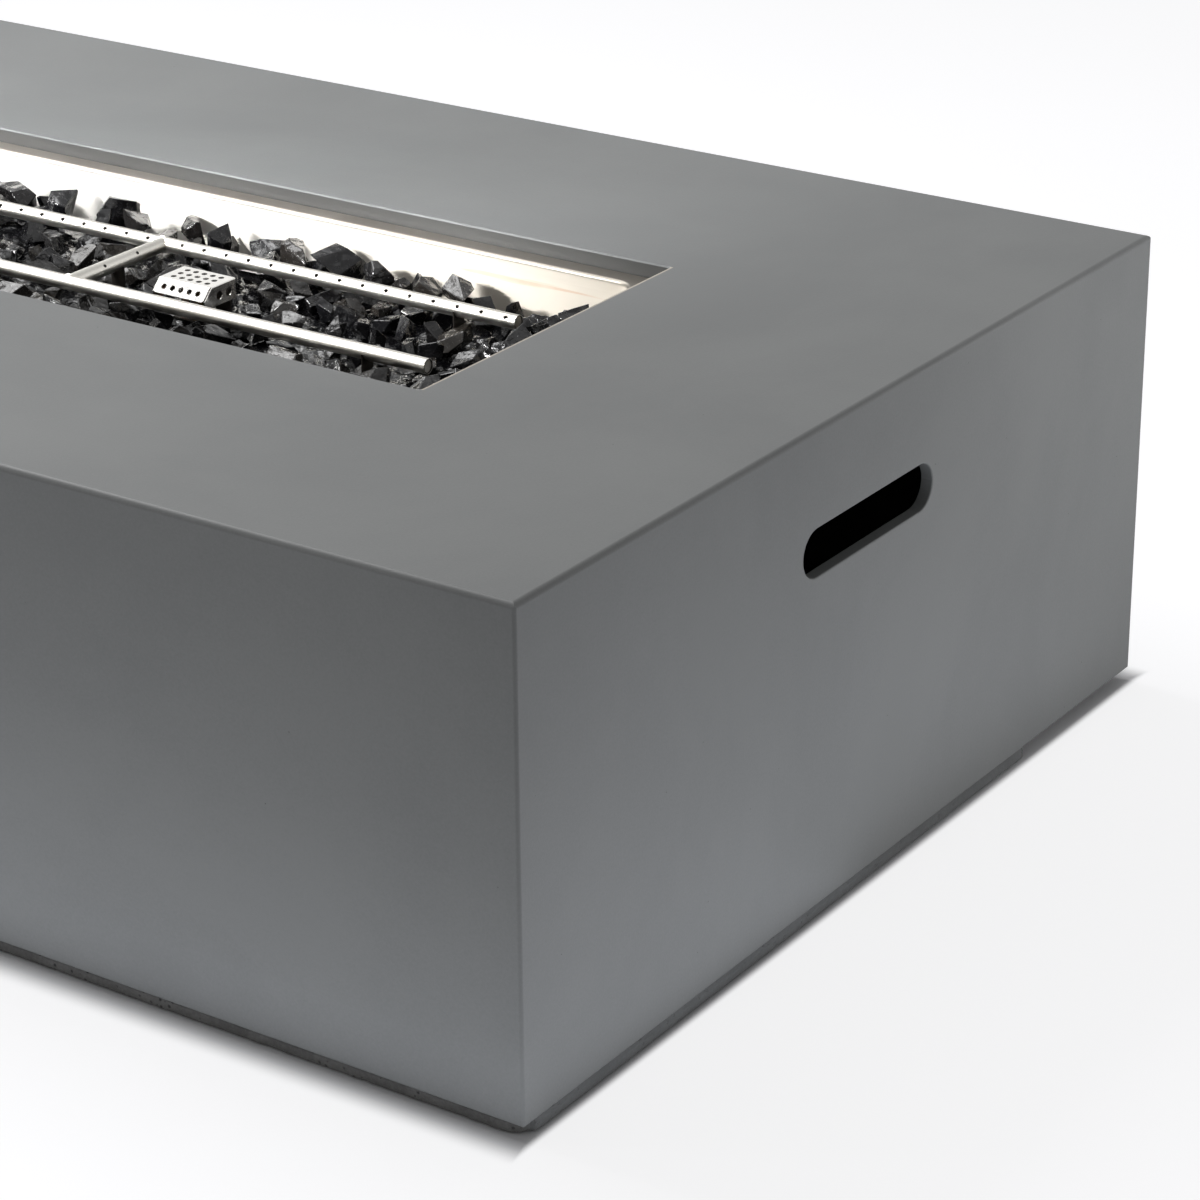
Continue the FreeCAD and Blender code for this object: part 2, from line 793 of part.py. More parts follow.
def pilot_bracket():
    """A folded bracket: foot on the pan floor, web up to the shield, shelf for the three devices."""
    x = (pilot_x - bracket_width / 2, pilot_x + bracket_width / 2)
    web = box(x, (web_front, web_back), (pan_floor, shield_under))
    foot = box(x, (web_front, web_back + bracket_foot), (pan_floor, pan_floor + strap_sheet))
    shelf = box(x, (pilot_y - shelf_front, web_back), (shelf_z - strap_sheet, shelf_z))
    holes = [rod(screw_radius + hole_clearance, V(sx, sy, pan_floor - 1), Z, strap_sheet + 2)
             for sx, sy in pan_screw_places()[4:]]
    low = shelf_z - strap_sheet - 1
    for (hx, _), radius in zip(line_places(), (probe_radius, pilot_radius, ceramic_radius)):
        holes.append(rod(radius + thread_clearance, V(hx, pilot_y, low), Z, strap_sheet + 2))
    return web.fuse([foot, shelf]).cut(holes)


def pilot_burner():
    barrel = rod(pilot_radius, V(pilot_x, pilot_y, device_end), Z, device_top - device_end)
    collar = hexagon(pilot_collar_across, V(pilot_x, pilot_y, shelf_z), Z, pilot_collar_height)
    head = rod(pilot_head_radius, V(pilot_x, pilot_y, device_top - pilot_head_height), Z, pilot_head_height)
    side_start = V(pilot_x - pilot_head_radius - 1, pilot_y, device_top - pilot_head_height / 2)
    bores = [rod(pilot_bore_radius, side_start, X, 2 * pilot_head_radius + 2),
             rod(pilot_bore_radius, V(pilot_x, pilot_y, device_end - 1), Z, device_top - device_end - 2)]
    return barrel.fuse([collar, head]).cut(bores)


def thermocouple():
    x = pilot_x - device_pitch
    tip = rod(probe_radius, V(x, pilot_y, device_end), Z, device_top - device_end)
    tip = tip.makeFillet(bend_share * probe_radius, level_edges(tip, device_top))
    return tip.fuse(rod(probe_collar_radius, V(x, pilot_y, shelf_z), Z, pilot_collar_height))


def spark_ceramic():
    x = pilot_x + device_pitch
    ceramic = rod(ceramic_radius, V(x, pilot_y, device_end), Z, shelf_z + ceramic_rise - device_end)
    ceramic = ceramic.fuse(rod(ceramic_collar_radius, V(x, pilot_y, shelf_z), Z, pilot_collar_height))
    return ceramic.cut(rod(spark_wire_radius, V(x, pilot_y, device_end), Z, device_top - device_end))


def spark_wire():
    """The electrode rod, bent towards the pilot burner at its tip."""
    x = pilot_x + device_pitch
    rise = device_top - spark_drop
    upright = rod(spark_wire_radius, V(x, pilot_y, device_end), Z, rise - device_end)
    reach = device_pitch - pilot_head_radius - spark_gap
    return upright.fuse([rod(spark_wire_radius, V(x - reach, pilot_y, rise), X, reach),
                         Part.makeSphere(spark_wire_radius, V(x, pilot_y, rise))])


# Lines

def pilot_gas_line():
    x = control_x + line_boss_spread
    z_end = control_z + valve_height / 2 + line_boss_height
    return line_along([V(pilot_x, pilot_y, device_end), V(pilot_x, pilot_y, device_end - line_fall),
                       V(x, line_boss_y, z_end + line_fall), V(x, line_boss_y, z_end)],
                      pilot_line_radius, pilot_line_radius - pilot_line_wall)


def thermocouple_lead():
    x = control_x - line_boss_spread
    z_end = control_z + valve_height / 2 + line_boss_height
    return line_along([V(pilot_x - device_pitch, pilot_y, device_end),
                       V(pilot_x - device_pitch, pilot_y, device_end - line_fall),
                       V(x, line_boss_y, z_end + line_fall), V(x, line_boss_y, z_end)], probe_lead_radius)


def ignition_wire():
    x = pilot_x + device_pitch
    end = igniter_back - igniter_terminal_length
    return line_along([V(x, pilot_y, device_end), V(x, pilot_y, device_end - line_fall),
                       V(igniter_x, end - line_fall, control_z), V(igniter_x, end, control_z)],
                      ignition_wire_radius)


# Control box

def control_box():
    """A folded tray behind the cut-out; its flange lies on the inner face of the wall."""
    inner_length, inner_height = recess_length + 2 * box_reveal, recess_height + 2 * box_reveal
    radius = recess_corner_radius + box_reveal
    around = 2 * (box_sheet + box_flange)
    flange = wall_slab(inner_length + around, inner_height + around, radius,
                       (wall_inner - box_sheet, wall_inner), control_x, control_z)
    tray = wall_slab(inner_length + 2 * box_sheet, inner_height + 2 * box_sheet, radius + box_sheet,
                     (plate_back, wall_inner), control_x, control_z)
    hollow = wall_slab(inner_length, inner_height, radius, (plate_front, wall_inner + 1),
                       control_x, control_z)
    depth = box_sheet + 2
    low = plate_back - 1
    holes = [rod(plate_hole_radius, V(control_x, low, control_z), Y, depth),
             rod(igniter_neck_radius + hole_clearance, V(igniter_x, low, control_z), Y, depth),
             rod(inlet_neck_radius + hole_clearance, V(inlet_x, low, control_z), Y, depth)]
    holes += [rod(screw_radius + hole_clearance, V(x, low, z), Y, depth) for x, z in valve_screw_places()]
    holes += [rod(stud_radius + hole_clearance, V(x, wall_inner - box_sheet - 1, z), Y, depth)
              for x, z in stud_places()]
    return flange.fuse(tray).cut([hollow] + holes)


def control_box_studs():
    return [rod(stud_radius, V(x, wall_inner + stud_embed - stud_length, z), Y, stud_length)
            for x, z in stud_places()]


def control_box_nuts():
    y = wall_inner - box_sheet - stud_nut_height
    return [nut(stud_nut_across, stud_radius + thread_clearance, V(x, y, z), Y, stud_nut_height)
            for x, z in stud_places()]


# Gas valve

def valve_screw_places():
    offset = valve_screw_spacing / 2
    return [(control_x + s * offset, control_z + s * offset) for s in (-1, 1)]


def valve_body():
    x = (control_x - valve_width / 2, control_x + valve_width / 2)
    z = (control_z - valve_height / 2, control_z + valve_height / 2)
    block = box(x, (valve_rear, plate_back), z)
    block = block.makeFillet(valve_edge_radius, [edge for edge in block.Edges if edge.BoundBox.YLength > 1])
    inlet_start = V(x[0] - valve_boss_length, valve_inlet_y, control_z)
    outlet_start = V(control_x, valve_rear - valve_boss_length, control_z)
    inlet = rod(valve_boss_radius, inlet_start, X, valve_boss_length + 1)
    outlet = rod(valve_boss_radius, outlet_start, Y, valve_boss_length + 1)
    bosses = [rod(line_boss_radius, V(control_x + s * line_boss_spread, line_boss_y, z[1] - 1), Z,
                  line_boss_height + 1) for s in (-1, 1)]
    cavity_front = plate_back - valve_front_wall
    cavity = rod(plug_radius + running_clearance, V(control_x, cavity_front, control_z), -Y,
                 plug_length + 2 * end_clearance)
    bores = [cavity,
             rod(stem_hole_radius, V(control_x, cavity_front - 1, control_z), Y, valve_front_wall + 2),
             rod(gas_bore_radius, inlet_start - X, X, valve_boss_length + valve_width / 2 + 1),
             rod(gas_bore_radius, outlet_start - Y, Y,
                 valve_length + valve_boss_length - valve_front_wall - plug_length + 1)]
    bores += [rod(screw_radius, V(sx, plate_back - valve_screw_depth, sz), Y, valve_screw_depth + 1)
              for sx, sz in valve_screw_places()]
    return block.fuse([inlet, outlet] + bosses).cut(bores)


def valve_screws():
    screws = []
    for x, z in valve_screw_places():
        shank = rod(screw_radius - thread_clearance, V(x, plate_back - valve_screw_depth + 1, z), Y,
                    valve_screw_depth + box_sheet - 1)
        screws.append(shank.fuse(rod(screw_head_radius, V(x, plate_front, z), Y, screw_head_height)))
    return screws


def valve_plug():
    """The turning plug with a D-shaped bore for the stem and a gas way across it."""
    body = rod(plug_radius, V(control_x, plug_front, control_z), -Y, plug_length)
    bore = flatted_rod(stem_radius + running_clearance, stem_flat, plug_front - plug_bore_depth,
                       plug_bore_depth + 1)
    way = rod(gas_bore_radius, V(control_x, plug_front - plug_length, control_z), Y,
              plug_length - plug_bore_depth - 1)
    return body.cut([bore, way])


def flatted_rod(radius, flat, y, length):
    """A round rod on the knob axis with a flat cut along its top."""
    shaft = rod(radius, V(control_x, y, control_z), Y, length)
    keep = radius - flat
    return shaft.cut(box((control_x - radius - 1, control_x + radius + 1), (y - 1, y + length + 1),
                         (control_z + keep, control_z + radius + 1)))


def valve_stem():
    return flatted_rod(stem_radius, stem_flat, stem_end, knob_back + knob_hub_depth - stem_end)


def spring_sleeve(radius, x, y, length):
    """A closely wound spring, as one thin sleeve."""
    return pipe(radius, radius - spring_wire, V(x, y, control_z), Y, length)


def stem_spring():
    bottom = plug_front - plug_bore_depth
    return spring_sleeve(stem_radius - stem_flat, control_x, bottom, stem_end - bottom)


# Knob and dial ring

def control_knob():
    skirt_disc = rod(knob_radius, V(control_x, knob_back, control_z), Y, knob_skirt_height)
    skirt_disc = skirt_disc.makeFillet(knob_edge_radius, [edge for edge in skirt_disc.Edges
                                                          if edge.BoundBox.YMin > knob_back + 1])
    half = knob_grip_width / 2
    reach = math.sqrt(knob_radius ** 2 - half ** 2) - knob_edge_radius
    grip = box((control_x - half, control_x + half),
               (knob_back + knob_skirt_height - 1, knob_back + knob_height),
               (control_z - reach, control_z + reach))
    grip = grip.makeFillet(knob_edge_radius, [edge for edge in grip.Edges
                                              if edge.BoundBox.YMax > knob_back + knob_skirt_height + 1])
    bore = flatted_rod(stem_radius, stem_flat, knob_back - 1, knob_hub_depth + 1)
    return skirt_disc.fuse(grip).cut([bore, marker_block()])


def marker_block():
    high = control_z + knob_radius - 2 * knob_edge_radius
    front = knob_back + knob_height
    return box((control_x - marker_width / 2, control_x + marker_width / 2), (front - marker_depth, front),
               (high - marker_length, high))


def dial_ring():
    return pipe(dial_radius, dial_hole_radius, V(control_x, plate_front, control_z), Y, dial_thickness)


# Igniter

def igniter_body():
    flange = rod(igniter_flange_radius, V(igniter_x, plate_front, control_z), Y, igniter_flange_height)
    flange = flange.makeFillet(button_edge_radius, [edge for edge in flange.Edges
                                                    if edge.BoundBox.YMin > plate_front + 1])
    barrel_start = V(igniter_x, igniter_back, control_z)
    barrel = rod(igniter_neck_radius, barrel_start, Y, plate_front + 1 - igniter_back)
    terminal = rod(igniter_terminal_radius, barrel_start - Y * igniter_terminal_length, Y,
                   igniter_terminal_length + 1)
    bore = rod(button_radius + button_gap, V(igniter_x, battery_back, control_z), Y,
               igniter_front + 1 - battery_back)
    return flange.fuse([barrel, terminal]).cut(bore)


def igniter_button():
    cap = rod(button_radius, V(igniter_x, button_front, control_z), -Y, button_length)
    return cap.makeFillet(button_edge_radius, [edge for edge in cap.Edges
                                               if edge.BoundBox.YMin > button_front - 1])


def igniter_battery():
    return rod(battery_radius, V(igniter_x, battery_back, control_z), Y, battery_length)


def igniter_spring():
    return spring_sleeve(battery_radius - spring_side_gap, igniter_x, battery_front, button_spring_length)


def igniter_nut():
    return nut(igniter_nut_across, igniter_neck_radius + thread_clearance,
               V(igniter_x, plate_back - igniter_nut_height, control_z), Y, igniter_nut_height)


# Gas inlet and supply

def gas_inlet_fitting():
    """A bulkhead fitting; the hose screws on to its spigot, which stays inside the recess."""
    hex_part = hexagon(inlet_across, V(inlet_x, plate_front, control_z), Y, inlet_hex_height)
    spigot_start = V(inlet_x, plate_front + inlet_hex_height, control_z)
    spigot = rod(inlet_spigot_radius, spigot_start, Y, inlet_spigot_length)
    neck = rod(inlet_neck_radius, V(inlet_x, inlet_end, control_z), Y, plate_front - inlet_end)
    bore = rod(inlet_bore_radius, V(inlet_x, inlet_end - 1, control_z), Y,
               inlet_tail + box_sheet + inlet_hex_height + inlet_spigot_length + 2)
    return hex_part.fuse([spigot, neck]).cut(bore)


def gas_inlet_nut():
    return nut(inlet_across, inlet_neck_radius + thread_clearance,
               V(inlet_x, plate_back - inlet_nut_height, control_z), Y, inlet_nut_height)


def supply_tube():
    valve_face = control_x - valve_width / 2 - valve_boss_length
    return line_along([V(inlet_x, inlet_end, control_z), V(inlet_x, valve_inlet_y, control_z),
                       V(valve_face, valve_inlet_y, control_z)], supply_radius, supply_radius - supply_wall)


def flare_nuts():
    """The nuts that hold the supply tube at the inlet fitting and at the valve."""
    valve_face = control_x - valve_width / 2 - valve_boss_length
    bore = supply_radius + thread_clearance
    starts = [(V(inlet_x, inlet_end - flare_nut_length, control_z), Y),
              (V(valve_face - flare_nut_length, valve_inlet_y, control_z), X)]
    return [nut(flare_nut_across, bore, start, axis, flare_nut_length) for start, axis in starts]


def hose_ends():
    return V(0, elbow_reach, elbow_z), V(control_x, valve_rear - valve_boss_length, control_z)


def burner_hose():
    start, end = hose_ends()
    return line_along([start, start + Y * hose_lead, end - Y * hose_lead, end], hose_radius, hose_bore_radius)


def hose_nuts():
    start, end = hose_ends()
    bore = hose_radius + thread_clearance
    return [nut(hose_nut_across, bore, start, Y, hose_nut_length),
            nut(hose_nut_across, bore, end - Y * hose_nut_length, Y, hose_nut_length)]


# Fire glass

def glass_heap():
    """A faceted heap: a net of uneven heights over the pan floor, closed by flat sides and a flat base."""
    spread = random.Random(glass_seed)
    length, width = pan_length, pan_width
    columns, rows = round(length / glass_cell), round(width / glass_cell)
    level = top - glass_drop
    grid = []
    for i in range(columns + 1):
        line = []
        for j in range(rows + 1):
            x = -length / 2 + length * i / columns
            y = -width / 2 + width * j / rows
            if 0 < i < columns:
                x += spread.uniform(-glass_jitter, glass_jitter) * glass_cell
            if 0 < j < rows:
                y += spread.uniform(-glass_jitter, glass_jitter) * glass_cell
            line.append(V(x, y, level + spread.uniform(-1, 1) * glass_swing))
        grid.append(line)
    faces = []
    for i in range(columns):
        for j in range(rows):
            a, b, c, d = grid[i][j], grid[i + 1][j], grid[i + 1][j + 1], grid[i][j + 1]
            faces += [Part.Face(Part.makePolygon([a, b, c, a])), Part.Face(Part.makePolygon([a, c, d, a]))]
    front = [line[0] for line in grid]
    rear = [line[-1] for line in reversed(grid)]
    for edge in (front, grid[-1], rear, list(reversed(grid[0]))):
        low_start = V(edge[0].x, edge[0].y, pan_floor)
        low_end = V(edge[-1].x, edge[-1].y, pan_floor)
        faces.append(Part.Face(Part.makePolygon([low_start] + edge + [low_end, low_start])))
    base = [V(sx * length / 2, sy * width / 2, pan_floor) for sx, sy in ((-1, -1), (1, -1), (1, 1), (-1, 1))]
    faces.append(Part.Face(Part.makePolygon(base + [base[0]])))
    shell = Part.makeShell(faces)
    shell.sewShape()
    solid = Part.makeSolid(shell)
    if solid.Volume < 0:
        solid.reverse()
    return solid


def glass_ways():
    """Room in the glass for everything that stands on the pan floor."""
    gap = glass_clearance
    high = top
    ways = [rod(stub_nut_across / math.sqrt(3) + gap, V(0, 0, pan_floor - 1), Z, high - pan_floor)]
    for sx in (-1, 1):
        for sy in (-1, 1):
            x, y = sx * (tube_length / 2 - foot_strap_inset), sy * tube_y
            ways.append(box((x - strap_sheet / 2 - gap, x + strap_sheet / 2 + strap_foot_length + gap),
                            (y - strap_width / 2 - gap, y + strap_width / 2 + gap), (pan_floor - 1, high)))
    ways.append(box((pilot_x - shield_length / 2 - gap, pilot_x + shield_length / 2 + gap),
                    (pilot_y - shield_width / 2 - gap, web_back + bracket_foot + gap), (pan_floor - 1, high)))
    return ways


def fire_glass():
    space = pan_space(glass_gap, (pan_floor, flange_top))
    return glass_heap().common(space).cut(glass_ways())


PIECES = {
    "concrete_shell": concrete_shell,
    "foot_ring": foot_ring,
    "pan_rim": pan_rim,
    "burner_pan": burner_pan,
    "burner_tube_front": lambda: burner_tube(-1),
    "burner_tube_rear": lambda: burner_tube(1),
    "burner_end_plugs": burner_end_plugs,
    "burner_cross_tube": burner_cross_tube,
    "burner_stub": burner_stub,
    "burner_clamp_nuts": burner_clamp_nuts,
    "burner_feet": burner_feet,
    "pan_screws": pan_screws,
    "pan_nuts": pan_nuts,
    "air_mixer": air_mixer,
    "gas_jet": gas_jet,
    "pilot_shield": pilot_shield,
    "pilot_bracket": pilot_bracket,
    "pilot_burner": pilot_burner,
    "thermocouple": thermocouple,
    "spark_ceramic": spark_ceramic,
    "spark_wire": spark_wire,
    "pilot_gas_line": pilot_gas_line,
    "thermocouple_lead": thermocouple_lead,
    "ignition_wire": ignition_wire,
    "control_box": control_box,
    "control_box_studs": control_box_studs,
    "control_box_nuts": control_box_nuts,
    "valve_body": valve_body,
    "valve_screws": valve_screws,
    "valve_plug": valve_plug,
    "valve_stem": valve_stem,
    "stem_spring": stem_spring,
    "control_knob": control_knob,
    "knob_marker": marker_block,
    "dial_ring": dial_ring,
    "igniter_body": igniter_body,
    "igniter_button": igniter_button,
    "igniter_battery": igniter_battery,
    "igniter_spring": igniter_spring,
    "igniter_nut": igniter_nut,
    "gas_inlet_fitting": gas_inlet_fitting,
    "gas_inlet_nut": gas_inlet_nut,
    "supply_tube": supply_tube,
    "flare_nuts": flare_nuts,
    "burner_hose": burner_hose,
    "hose_nuts": hose_nuts,
    "fire_glass": fire_glass,
}


def write(name, made):
    """One STEP file for a piece, or for a group of identical pieces."""
    solids = made if isinstance(made, list) else [made]
    solids = [solid for shape in solids for solid in shape.Solids]
    for solid in solids:
        if not solid.isValid():
            print("not valid:", name)
    shape = solids[0] if len(solids) == 1 else Part.makeCompound(solids)
    shape.exportStep("parts/" + name + ".step")
    print(name, len(solids), round(shape.Volume))


os.makedirs("parts", exist_ok=True)
for piece_name, make in PIECES.items():
    write(piece_name, make())
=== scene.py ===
import json
import math
import random

import bmesh
import bpy
import numpy as np
from mathutils import Euler, Matrix, Vector, noise

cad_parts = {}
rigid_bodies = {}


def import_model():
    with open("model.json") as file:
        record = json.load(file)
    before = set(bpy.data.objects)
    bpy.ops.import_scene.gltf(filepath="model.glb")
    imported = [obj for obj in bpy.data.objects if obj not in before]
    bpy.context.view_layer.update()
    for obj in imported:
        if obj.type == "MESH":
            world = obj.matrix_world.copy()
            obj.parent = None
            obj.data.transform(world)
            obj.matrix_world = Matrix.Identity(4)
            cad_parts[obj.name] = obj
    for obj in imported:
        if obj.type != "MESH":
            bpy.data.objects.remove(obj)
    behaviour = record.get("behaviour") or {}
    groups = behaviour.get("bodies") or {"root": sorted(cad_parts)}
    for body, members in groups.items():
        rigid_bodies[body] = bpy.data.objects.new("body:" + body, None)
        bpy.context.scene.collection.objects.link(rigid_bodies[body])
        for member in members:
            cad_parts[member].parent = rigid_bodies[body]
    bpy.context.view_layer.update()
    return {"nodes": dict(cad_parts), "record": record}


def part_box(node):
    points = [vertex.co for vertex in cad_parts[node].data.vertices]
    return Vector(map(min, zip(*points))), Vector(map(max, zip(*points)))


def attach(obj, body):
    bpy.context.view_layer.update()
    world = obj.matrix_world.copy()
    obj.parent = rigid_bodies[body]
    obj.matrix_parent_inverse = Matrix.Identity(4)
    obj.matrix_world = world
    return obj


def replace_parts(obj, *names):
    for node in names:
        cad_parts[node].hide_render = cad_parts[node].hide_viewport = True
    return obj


for leftover in list(bpy.data.objects):
    bpy.data.objects.remove(leftover)

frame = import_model()

TABLE = "table"
MM = 0.001
WHITE = (1.0, 1.0, 1.0)
BLACK = (0.0, 0.0, 0.0)

# The shell's far corner, the rim's top, and half the length and width of the opening
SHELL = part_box("concrete_shell")[1]
RIM_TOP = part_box("pan_rim")[1].z
MOUTH_END = 445.0 * MM
MOUTH_SIDE = 170.0 * MM

# The burner: its long tubes' distance from the middle, and their ports. The ports of the left
# half are shifted along the tube.
TUBE_SIDE = 61.0 * MM
PORT_LEAN = math.radians(40)
PORT_PITCH = 24.1 * MM
PORT_SHIFT = 14.0 * MM
PORT_RADIUS = 1.6 * MM
# How far the painted shade round each port reaches
PORT_SHADE_RADIUS = 2.7 * MM


def held(value):
    """The value, held between 0 and 1."""
    return max(0.0, min(1.0, value))


# Camera: a long lens above the near right corner, turned as the photograph's lines show
CAMERA_PLACE = Vector((2.0445, -2.2753, 1.3867))
CAMERA_AZIMUTH = math.radians(34.346)
CAMERA_TILT = math.radians(23.586)
CAMERA_ROLL = math.radians(0.438)
CAMERA_LENS = 113.40
CAMERA_SENSOR = 36.0
CAMERA_FAR = 200.0


def add_camera():
    data = bpy.data.cameras.new("camera")
    data.lens = CAMERA_LENS
    data.sensor_width = CAMERA_SENSOR
    data.clip_end = CAMERA_FAR
    camera = bpy.data.objects.new("camera", data)
    bpy.context.scene.collection.objects.link(camera)
    ahead = Vector((-math.sin(CAMERA_AZIMUTH) * math.cos(CAMERA_TILT),
                    math.cos(CAMERA_AZIMUTH) * math.cos(CAMERA_TILT), -math.sin(CAMERA_TILT)))
    level = Vector((math.cos(CAMERA_AZIMUTH), math.sin(CAMERA_AZIMUTH), 0))
    below = ahead.cross(level)
    right = math.cos(CAMERA_ROLL) * level + math.sin(CAMERA_ROLL) * below
    up = math.sin(CAMERA_ROLL) * level - math.cos(CAMERA_ROLL) * below
    turn = Matrix((right, up, -ahead)).transposed().to_4x4()
    camera.matrix_world = Matrix.Translation(CAMERA_PLACE) @ turn
    bpy.context.scene.camera = camera


# Shader tools
class Value:
    """A shader socket that takes part in sums; each operator adds a Math node."""

    def __init__(self, finish, socket):
        self.finish = finish
        self.socket = socket

    def __add__(self, other):
        return self.finish.math("ADD", self, other)

    def __radd__(self, other):
        return self.finish.math("ADD", other, self)

    def __sub__(self, other):
        return self.finish.math("SUBTRACT", self, other)

    def __rsub__(self, other):
        return self.finish.math("SUBTRACT", other, self)

    def __mul__(self, other):
        return self.finish.math("MULTIPLY", self, other)

    def __rmul__(self, other):
        return self.finish.math("MULTIPLY", other, self)

    def __gt__(self, other):
        return self.finish.math("GREATER_THAN", self, other)

    def __lt__(self, other):
        return self.finish.math("LESS_THAN", self, other)

    def __abs__(self):
        return self.finish.math("ABSOLUTE", self)


class Finish:
    """A material: one Principled shader, and short ways to add and link the nodes that feed it."""

    def __init__(self, name, constants):
        self.material = bpy.data.materials.new(name)
        self.material.use_nodes = True
        self.tree = self.material.node_tree
        self.shader = self.tree.nodes["Principled BSDF"]
        for words, value in constants.items():
            self.shader.inputs[words].default_value = value
        self.place = self.node("ShaderNodeTexCoord")["Object"]

    def node(self, kind, settings=None, inputs=None):
        """Adds a node with its settings, then its sockets' values or links. Gives its outputs."""
        made = self.tree.nodes.new(kind)
        for words, value in (settings or {}).items():
            setattr(made, words, value)
        for words, value in (inputs or {}).items():
            if isinstance(words, int):
                socket = made.inputs[words]
            else:
                socket = next(s for s in made.inputs if s.name == words and s.enabled)
            if isinstance(value, Value):
                self.tree.links.new(value.socket, socket)
            else:
                socket.default_value = value
        return {output.name: Value(self, output) for output in made.outputs if output.enabled}

    def math(self, operation, *values):
        made = self.node("ShaderNodeMath", {"operation": operation}, dict(enumerate(values)))
        return made["Value"]

    def stretched(self, stretch):
        made = self.node("ShaderNodeMapping", None, {"Vector": self.place, "Scale": stretch})
        return made["Vector"]

    def noise(self, scale, detail, rough, stretch=None, warp=0.0):
        """A noise from 0 to 1 over the object; scale is in features a metre."""
        place = self.stretched(stretch) if stretch else self.place
        return self.node("ShaderNodeTexNoise", None,
                         {"Vector": place, "Scale": scale, "Detail": detail, "Roughness": rough,
                          "Distortion": warp})["Fac"]

    def axis(self, letter):
        """One coordinate of the object, in metres."""
        return self.node("ShaderNodeSeparateXYZ", None, {"Vector": self.place})[letter]

    def cells(self, scale):
        """Scattered cells: the distance from each cell's middle, and a colour of its own."""
        return self.node("ShaderNodeTexVoronoi", None, {"Vector": self.place, "Scale": scale})

    def between(self, value, low, high, to_low=0.0, to_high=1.0):
        """The value's range from low to high, taken to another range, and held there."""
        return self.node("ShaderNodeMapRange", {"interpolation_type": "SMOOTHSTEP"},
                         {"Value": value, "From Min": low, "From Max": high, "To Min": to_low,
                          "To Max": to_high})["Result"]

    def mix(self, share, first, second):
        """A colour between two colours."""
        pair = {"Factor": share}
        for words, color in (("A", first), ("B", second)):
            pair[words] = color if isinstance(color, Value) else (*color, 1.0)
        return self.node("ShaderNodeMix", {"data_type": "RGBA"}, pair)["Result"]

    def feed(self, words, value):
        self.tree.links.new(value.socket, self.shader.inputs[words])

    def bump(self, height, distance):
        """Feeds the normal with a height from 0 to 1, its full rise in metres."""
        bump = self.node("ShaderNodeBump", None, {"Height": height, "Distance": distance})
        self.feed("Normal", bump["Normal"])


# Finishes
ALONG_SHEET = (0.02, 1.0, 1.0)
ALONG_TUBE = (0.012, 1.0, 1.0)
ACROSS_SHEET = (1.0, 0.03, 1.0)
PALE_SHEET = (0.95, 0.93, 0.89)
# The pan's sheet painted creamier and darker to the right: painted shade
CREAM_SHADED_SHEET = (0.92, 0.85, 0.74)
WIPED_SHEET = (0.80, 0.73, 0.63)
# The rim's flange, painted darker than the wall as painted shade, and darker still to the right
FLANGE_SHADE = (0.30, 0.27, 0.235)
FLANGE_TONE = (0.40, 0.37, 0.33)
FLANGE_RIGHT_SHADE = (0.26, 0.24, 0.21)
RUST = (0.72, 0.42, 0.22)
# Painted shade round the tube's ports
PORT_RING_SHADE = (0.05, 0.046, 0.04)
# Painted shade inside the tube
INNER_SHADE = (0.02, 0.018, 0.016)
CAST_SHADE = (0.166, 0.172, 0.173)
CAST_TONE = (0.212, 0.218, 0.217)
CAST_PORE = (0.03, 0.032, 0.032)
# Painted shade on the lip inside the opening
CAST_LIP_SHADE = (0.085, 0.086, 0.084)
# A painted highlight along the top edge at the opening's right end
CAST_EDGE_HIGHLIGHT = (0.60, 0.53, 0.44)


def cast_concrete():
    """Sealed satin casting: faint clouds, wide soft smears, fine grain and a few pinholes.

    The lip inside the opening is painted dark as painted shade, and the top edge at its right end
    carries a painted cream highlight.
    """
    finish = Finish("cast_concrete", {"IOR": 1.5})
    clouds = finish.noise(2.6, 5.0, 0.6, warp=0.4)
    smears = finish.noise(5.0, 3.0, 0.5, stretch=(0.5, 1.6, 1.2))
    grain = finish.noise(520.0, 2.0, 0.6)
    tone = finish.between(0.5 * clouds + 0.3 * smears + 0.2 * grain, 0.35, 0.65)
    surface = finish.mix(tone, CAST_SHADE, CAST_TONE)
    pores = finish.cells(46.0)
    chosen = finish.node("ShaderNodeSeparateColor", None, {"Color": pores["Color"]})["Red"] > 0.8
    pore = finish.between(pores["Distance"], 0.012, 0.03, 1.0, 0.0) * chosen
    surface = finish.mix(pore * 0.8, surface, CAST_PORE)
    along, across, height = (finish.axis(letter) for letter in "XYZ")
    # The lip inside the opening is painted dark: painted shade
    lip_shade = ((height > RIM_TOP - 4.0 * MM)
           * finish.between(height, SHELL.z - 2.2 * MM, SHELL.z - 1.2 * MM, 1.0, 0.0)
           * (abs(across) < MOUTH_SIDE + 0.5 * MM) * (abs(along) < MOUTH_END + 0.5 * MM))
    surface = finish.mix(lip_shade, surface, CAST_LIP_SHADE)
    # Painted highlight: a cream line along the top edge at the opening's right end
    edge_highlight = (finish.between(along, MOUTH_END + 0.2 * MM, MOUTH_END + 0.8 * MM)
              * finish.between(along, MOUTH_END + 2.6 * MM, MOUTH_END + 3.6 * MM, 1.0, 0.0)
              * (height > SHELL.z - 1.6 * MM) * (abs(across) < MOUTH_SIDE))
    finish.feed("Base Color", finish.mix(edge_highlight * 0.8, surface, CAST_EDGE_HIGHLIGHT))
    finish.feed("Roughness", 0.40 + 0.14 * smears + 0.06 * grain)
    finish.bump(0.25 * grain + 0.75 * clouds - 0.8 * pore, 0.4 * MM)
    return finish.material


